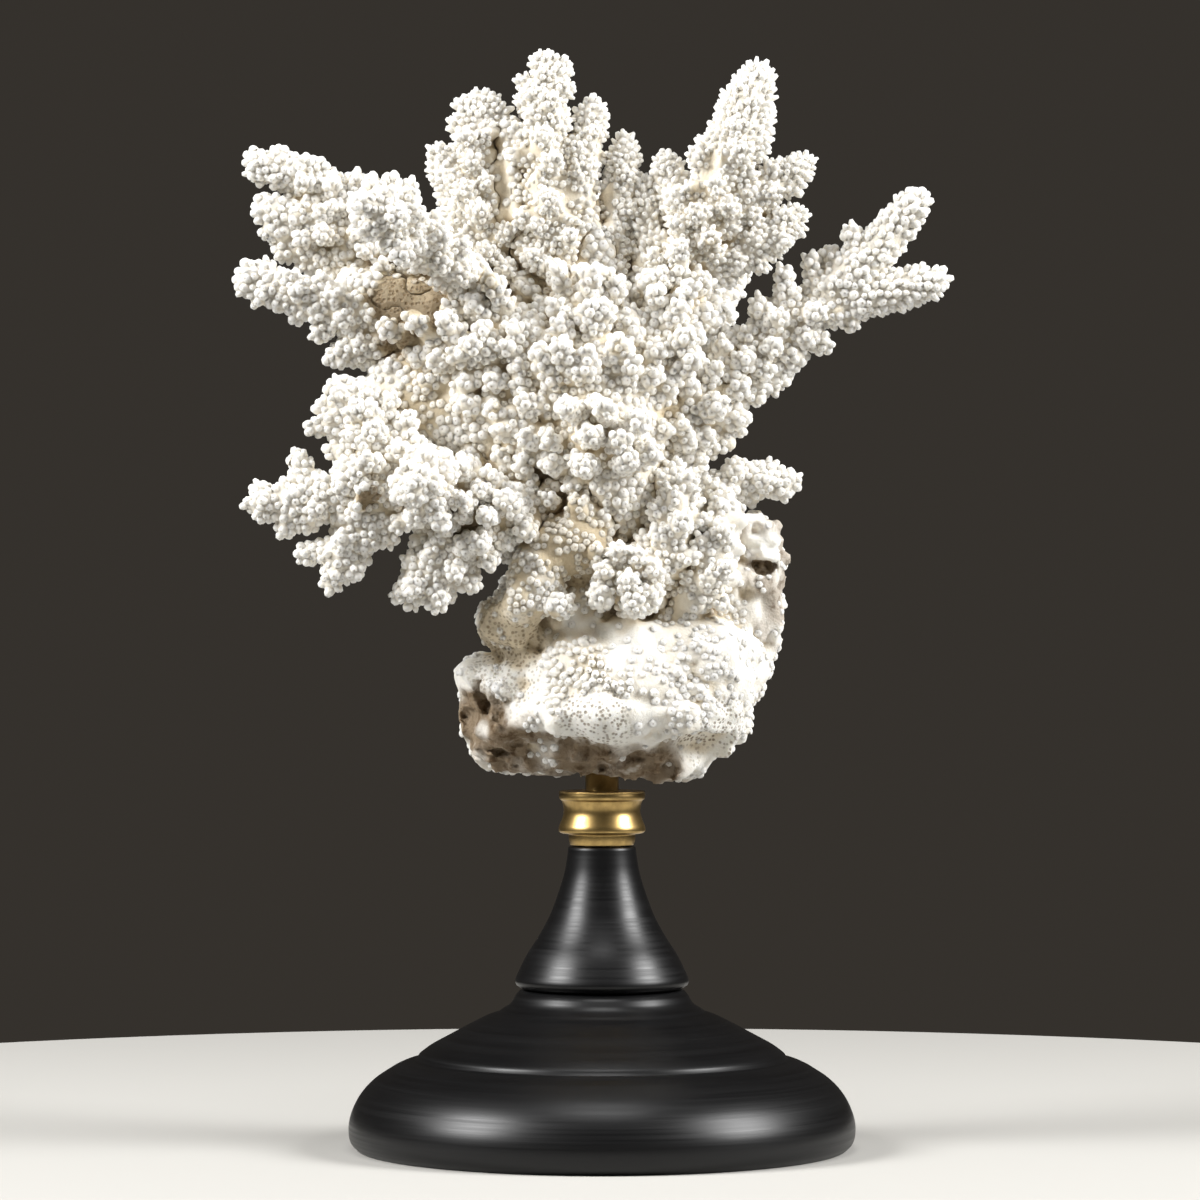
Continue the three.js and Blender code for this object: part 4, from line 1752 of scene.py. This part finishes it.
class Skin:
    """A branch's surface and what every point of it knows about the growth under it.

    Attributes:
        SPLAY_FROM: The point that the cups of the trunk's front tufts spread from.
        LEAN: How far cups lean the way that their knob grows, and how far at random.
        CROWDING: How much near and wider surroundings count, and how full they are on open skin.
        TRUNK_EASE: How much less crowded the trunk counts as, so that it gets less painted shade,
            as painted light on the broad, open trunk.
        TUFT_TOP: Between which heights the front tufts stop spreading.
        BURIED: Between which heights the rock comes clear of the skin that grew over it.
        DARK: How hollow skin is where it starts to go bare, where it ends, and how bare it is then.
        CUPLESS: How hollow it is where no cup grows, and where every cup does.
        OPEN_TOP: Between which heights the trunk's top grows as many cups as a branch.
        OPEN_RIGHT: And between which places across it they stop.
        COAT: How far under the whole colony's surface the skin is cut, and is still outside.
    """

    SPLAY_FROM = (-1.0, -24.0, 149.0)
    LEAN = (0.55, 0.4)
    CROWDING = ((1.3, 0.42), (1.9, 0.5))
    TRUNK_EASE = 0.04
    TUFT_TOP = (165.0, 155.0)
    BURIED = (150.0, 140.0)
    DARK = (0.5, 0.85, 0.88)
    CUPLESS = (1.05, 0.5)
    OPEN_TOP = (157.0, 165.0)
    OPEN_RIGHT = (42.0, 36.0)
    COAT = (-1.4, -0.7)

    def __init__(self, growth: GrowthField, number: int, crowds: Sequence[np.ndarray]) -> None:
        """Works out the surface's own values.

        Args:
            growth: The field that the surface comes from.
            number: The number of the branch.
            crowds: How crowded each grid point's near and wider surroundings are.
        """
        self.points, self.quads = growth.body(number)
        points, height = self.points, self.points[:, 2]
        nearest = growth.nearest[growth.cells(points)]
        self.normals = point_normals(points, self.quads)
        directions = np.array(growth.directions)[nearest]
        tufts = within(TUFTS, points)
        splayed = (tufts * smooth_step(*self.TUFT_TOP, height))[:, None]
        along, astray = self.LEAN
        splay = splayed * unit(points - self.SPLAY_FROM)
        strays = np.column_stack([lattice_noise(points, 3, salt) for salt in (41, 42, 43)])
        leaning = np.where(splayed > 0, splay, along * directions)
        self.lean = unit(self.normals + leaning + astray * strays)
        # How crowded the surroundings are sets, with the stains, the hollow colour: painted shade
        # in recesses and between parts, and partly stains.
        crowded = sum(
            weight * (growth.sample(crowd, points) - level)
            for crowd, (weight, level) in zip(crowds, self.CROWDING)
        )
        # The trunk counts as less crowded, so it gets less painted shade, as painted light on its
        # open surface.
        if number == TRUNK:
            crowded -= self.TRUNK_EASE
        self.hollow = np.maximum(np.clip(crowded, 0, 1), within(STAINS_AND_SHADE, points))
        rocky = within(ROCKS, points)
        # Low down the rock is all rock; higher up the skin has grown over some of it.
        buried = 0.2 + 0.3 * smooth_step(*self.BURIED, height)
        self.rock = rocky * smooth_step(-0.5, 0.1, lattice_noise(points, 9, 31) + buried)
        # Skin deep in the hollows, where shade is painted, has pores in place of cups.
        start, end, most = self.DARK
        dark = most * smooth_step(start, end, self.hollow)
        self.bare = np.maximum(within(BARE_AREAS, points), dark)
        shares = np.array(growth.cup_shares)[nearest]
        sizes = np.array(growth.cup_sizes)[nearest]
        if number == TRUNK:
            scattered = 0.2 + 0.5 * smooth_step(-0.1, 0.3, lattice_noise(points, 13, 32))
            above = 0.9 * smooth_step(*self.OPEN_TOP, height)
            above *= smooth_step(*self.OPEN_RIGHT, points[:, 0])
            pearls = 0.45 * within(PEARLS, points)
            shares *= np.maximum.reduce([tufts, pearls, scattered, above])
            sizes *= 0.8 + 1.6 * splayed[:, 0] + 0.6 * above
        outside = smooth_step(*self.COAT, growth.sample(growth.distance, points))
        keep = (1 - self.bare) * (1 - rocky) * smooth_step(*self.CUPLESS, self.hollow)
        keep *= 1 - within(ALONG_FLUTES, points)
        self.living = keep * shares * outside
        self.cup_size = sizes * (1 - 0.5 * self.hollow)
        self.cut = outside < 0.5

    def piece(self, name: str, material: bpy.types.Material) -> bpy.types.Object:
        """Makes the surface an object.

        Args:
            name: The piece's name.
            material: The coral's material.

        Returns:
            The closed skin of the branch.
        """
        mesh = mesh_of(name, self.points, self.quads)
        self.keep(mesh, "living", "FACE", self.living[self.quads].mean(axis=1))
        for label in ("hollow", "rock", "bare", "cup_size"):
            self.keep(mesh, label, "POINT", getattr(self, label))
        lean = mesh.attributes.new("lean", "FLOAT_VECTOR", "POINT")
        lean.data.foreach_set("vector", self.lean.astype(np.float32).ravel())
        # The shading of the skin stays clear of the cut that closes it.
        ends = np.zeros(2 * len(mesh.edges), np.int32)
        mesh.edges.foreach_get("vertices", ends)
        at_rim = np.logical_xor(*self.cut[ends.reshape(-1, 2)].T)
        mesh.attributes.new("sharp_edge", "BOOLEAN", "EDGE").data.foreach_set("value", at_rim)
        mesh.materials.append(material)
        return new_object(name, mesh)

    def keep(self, mesh: bpy.types.Mesh, label: str, domain: str, values: np.ndarray) -> None:
        """Keeps a value on a mesh under a name."""
        kept = mesh.attributes.new(label, "FLOAT", domain)
        kept.data.foreach_set("value", values.astype(np.float32))


def point_normals(points: np.ndarray, quads: np.ndarray) -> np.ndarray:
    """Unit normals at a mesh's points.

    Args:
        points: The points.
        quads: The faces.

    Returns:
        One normal a point.
    """
    a, b, c, d = (points[quads[:, i]] for i in range(4))
    flat = np.cross(c - a, d - b)
    total = np.zeros_like(points)
    for i in range(4):
        np.add.at(total, quads[:, i], flat)
    return unit(total)


# ---------------------------------------------------------------- the cups


@dataclass(frozen=True)
class Cup:
    """One coral cup, a short thick-walled tube with a pit at its end, one unit wide and long.

    Attributes:
        sides: Few, because there are tens of thousands of cups.
        profile: Its (radius, height) from the root inside the skin to the rounded rim.
        pit: How deep the pit is.
    """

    sides: int = 6
    profile: Sequence[tuple[float, float]] = ((1.25, -0.6), (1.0, 0.45), (0.52, 1.0))
    pit: float = 0.4

    def build(self) -> bpy.types.Object:
        """Makes the cup, with the pit's bottom marked for the painted shade in it."""
        angles = np.arange(self.sides) * 2 * math.pi / self.sides
        circle = np.column_stack([np.cos(angles), np.sin(angles)])
        rings = [
            np.column_stack([circle * radius, np.full(self.sides, height)])
            for radius, height in self.profile
        ]
        points = np.vstack([*rings, [(0, 0, 1 - self.pit)]])
        rim = (len(rings) - 1) * self.sides
        faces = []
        for i in range(self.sides):
            j = (i + 1) % self.sides
            for low in range(0, rim, self.sides):
                faces.append((low + i, low + j, low + self.sides + j, low + self.sides + i))
            faces.append((rim + i, rim + j, rim + self.sides))
        mesh = mesh_of("cup", points / MM, faces)
        pit = np.zeros(len(points))
        pit[-1] = 1
        # How far up the cup a point is: the colour is painted white from a painted shade at the
        # root to the rim.
        rise = np.clip(points[:, 2] / self.profile[1][1], 0, 1)
        for label, values in (("pit", pit), ("rise", rise)):
            mesh.attributes.new(label, "FLOAT", "POINT").data.foreach_set("value", values)
        return new_object("cup", mesh)


@dataclass(frozen=True)
class CupTree:
    """The geometry tree that sets cups over a skin.

    Attributes:
        usual: The size of a cup where nothing else is said.
        crowding: How many cups are tried on a square as wide as their least spacing.
        width: The least and the greatest share of its radius that a cup has.
        length: The same for its length.
    """

    usual: CupSize = CupSize()
    crowding: float = 4.0
    width: tuple[float, float] = (0.75, 1.25)
    length: tuple[float, float] = (0.6, 1.35)

    def build(self) -> bpy.types.NodeTree:
        """Builds the tree, with a named input for each size."""
        tree = bpy.data.node_groups.new("coral_cups", "GeometryNodeTree")
        face = tree.interface
        face.new_socket("Geometry", in_out="OUTPUT", socket_type="NodeSocketGeometry")
        for name, kind in (
            ("Geometry", "NodeSocketGeometry"),
            ("Cup", "NodeSocketObject"),
            ("Spacing", "NodeSocketFloat"),
            ("Radius", "NodeSocketFloat"),
            ("Length", "NodeSocketFloat"),
            ("Seed", "NodeSocketInt"),
            ("Finish", "NodeSocketMaterial"),
        ):
            socket = face.new_socket(name, in_out="INPUT", socket_type=kind)
            if kind == "NodeSocketFloat":
                socket.default_value = getattr(self.usual, name.lower()) * MM
        given = add_node(tree, "NodeGroupInput").outputs
        kept = {}
        for name, kind in (("living", "FLOAT"), ("cup_size", "FLOAT"), ("lean", "FLOAT_VECTOR")):
            value = {"Name": name}
            node = add_node(tree, "GeometryNodeInputNamedAttribute", {}, value, data_type=kind)
            kept[name] = node.outputs["Attribute"]
        square = {0: given["Spacing"], 1: given["Spacing"]}
        square = add_node(tree, "ShaderNodeMath", square, operation="MULTIPLY").outputs[0]
        tries = {0: self.crowding}
        most = add_node(tree, "ShaderNodeMath", {1: square}, tries, operation="DIVIDE").outputs[0]
        points = add_node(
            tree,
            "GeometryNodeDistributePointsOnFaces",
            {
                "Mesh": given["Geometry"],
                "Distance Min": given["Spacing"],
                "Density Max": most,
                "Density Factor": kept["living"],
                "Seed": given["Seed"],
            },
            distribute_method="POISSON",
        )
        lean = {"Vector": kept["lean"]}
        turn = add_node(tree, "FunctionNodeAlignRotationToVector", lean, axis="Z")
        sizes = []
        # Each salt gives random shares of its own from the same seed.
        for salt, name, spread in ((1, "Radius", self.width), (2, "Length", self.length)):
            seed = {0: given["Seed"]}
            salted = add_node(tree, "ShaderNodeMath", seed, {1: salt}, operation="ADD")
            seed, limits = {"Seed": salted.outputs[0]}, dict(zip((2, 3), spread))
            share = add_node(tree, "FunctionNodeRandomValue", seed, limits).outputs[1]
            both = {0: given[name], 1: share}
            sizes.append(add_node(tree, "ShaderNodeMath", both, operation="MULTIPLY").outputs[0])
        wide, tall = sizes
        both = {0: tall, 1: kept["cup_size"]}
        tall = add_node(tree, "ShaderNodeMath", both, operation="MULTIPLY").outputs[0]
        size = add_node(tree, "ShaderNodeCombineXYZ", {"X": wide, "Y": wide, "Z": tall})
        cup = add_node(tree, "GeometryNodeObjectInfo", {"Object": given["Cup"]})
        cups = add_node(
            tree,
            "GeometryNodeInstanceOnPoints",
            {
                "Points": points.outputs["Points"],
                "Instance": cup.outputs["Geometry"],
                "Rotation": turn.outputs["Rotation"],
                "Scale": size.outputs["Vector"],
            },
        )
        placed = {"Geometry": cups.outputs["Instances"]}
        real = add_node(tree, "GeometryNodeRealizeInstances", placed)
        whole = add_node(tree, "GeometryNodeJoinGeometry")
        for source in (given["Geometry"], real.outputs["Geometry"]):
            tree.links.new(source, whole.inputs[0])
        finish = {"Geometry": whole.outputs["Geometry"], "Material": given["Finish"]}
        dressed = add_node(tree, "GeometryNodeSetMaterial", finish)
        add_node(tree, "NodeGroupOutput", {"Geometry": dressed.outputs["Geometry"]})
        return tree


def set_cups(
    piece: bpy.types.Object,
    tree: bpy.types.NodeTree,
    cup: bpy.types.Object,
    material: bpy.types.Material,
    size: CupSize,
    seed: int,
) -> None:
    """Sets cups over a piece's skin and makes the result its plain mesh.

    Args:
        piece: The skin.
        tree: The cup tree.
        cup: One cup.
        material: The coral's material.
        size: The size of this piece's cups.
        seed: Their seed.
    """
    modifier = piece.modifiers.new("cups", "NODES")
    modifier.node_group = tree
    given = {"Cup": cup, "Seed": seed, "Finish": material}
    for name in ("spacing", "radius", "length"):
        given[name.title()] = getattr(size, name) * MM
    for item in tree.interface.items_tree:
        if item.in_out == "INPUT" and item.name in given:
            modifier[item.identifier] = given[item.name]
    graph = bpy.context.evaluated_depsgraph_get()
    made = bpy.data.meshes.new_from_object(piece.evaluated_get(graph), depsgraph=graph)
    piece.modifiers.remove(modifier)
    bare = piece.data
    piece.data = made
    bpy.data.meshes.remove(bare)
    made.name = piece.name


# ---------------------------------------------------------------- the studio


@dataclass(frozen=True)
class Softbox:
    """A square white studio light that looks at a point.

    Attributes:
        name: Its name.
        place: Where it hangs.
        target: The point that it looks at.
        size: How wide it is.
        power: How bright, in watts.
    """

    name: str
    place: Place
    target: Place
    size: float
    power: float

    def build(self) -> None:
        """Hangs the light."""
        data = bpy.data.lights.new(self.name, "AREA")
        data.size = self.size * MM
        data.energy = self.power
        lamp = bpy.data.objects.new(self.name, data)
        lamp.location = Vector(self.place) * MM
        aim = Vector(self.target) - Vector(self.place)
        lamp.rotation_euler = aim.to_track_quat("-Z", "Y").to_euler()
        bpy.context.scene.collection.objects.link(lamp)


@dataclass(frozen=True)
class Studio:
    """A round pale table in a dim room, soft lights from both sides, and the camera.

    Attributes:
        camera_place: Where the camera stands, level and looking straight back.
        lens: Its focal length.
        sensor: Its sensor's width.
        table: The colour of the table.
        table_radius: How far the table reaches.
        table_sides: How many straight edges go round it.
        table_roughness: The shader's roughness: matt board.
        room: The colour of the dim room.
        room_strength: How bright it is.
        lights: The lights.
    """

    camera_place: Place = (-0.6, -1500, 164.4)
    lens: float = 150.0
    sensor: float = 36.0
    table: str = "#B9B7B2"
    table_radius: float = 420.0
    table_sides: int = 128
    table_roughness: float = 0.9
    room: str = "#948B80"
    room_strength: float = 0.12
    lights: Sequence[Softbox] = (
        Softbox("key_left", (-1080, -430, 880), (0, 0, 170), 560, 28),
        Softbox("key_right", (1140, -340, 820), (0, 0, 170), 560, 28),
        Softbox("overhead", (0, -440, 1640), (0, 0, 170), 700, 8.5),
    )

    def build(self) -> None:
        """Sets up the camera, the table, the lights and the dim room."""
        data = bpy.data.cameras.new("camera")
        data.lens = self.lens
        data.sensor_width = self.sensor
        camera = bpy.data.objects.new("camera", data)
        camera.location = Vector(self.camera_place) * MM
        camera.rotation_euler = (math.pi / 2, 0, 0)
        bpy.context.scene.collection.objects.link(camera)
        bpy.context.scene.camera = camera
        for light in self.lights:
            light.build()
        self.lay_table()
        bpy.context.scene.view_settings.view_transform = "Standard"
        world = bpy.data.worlds.new("dim_room")
        world.use_nodes = True
        background = world.node_tree.nodes["Background"]
        background.inputs["Color"].default_value = linear_colour(self.room)
        background.inputs["Strength"].default_value = self.room_strength
        bpy.context.scene.world = world

    def lay_table(self) -> None:
        """Lays the pale round table top that the stand rests on."""
        turns = np.arange(self.table_sides) * 2 * math.pi / self.table_sides
        rim = np.column_stack([np.cos(turns), np.sin(turns), 0 * turns]) * self.table_radius
        mesh = mesh_of("floor", rim, [range(self.table_sides)])
        paper = bpy.data.materials.new("matt_pale_board")
        paper.use_nodes = True
        shader = paper.node_tree.nodes["Principled BSDF"]
        shader.inputs["Base Color"].default_value = linear_colour(self.table)
        shader.inputs["Roughness"].default_value = self.table_roughness
        mesh.materials.append(paper)
        new_object("floor", mesh)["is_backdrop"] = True


def main() -> None:
    """Builds the stand and the coral round the part, and sets up the studio."""
    logging.basicConfig(level=logging.INFO, format="%(message)s")
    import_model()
    Studio().build()
    Stand().build()
    Colony().build()


if __name__ == "__main__":
    main()
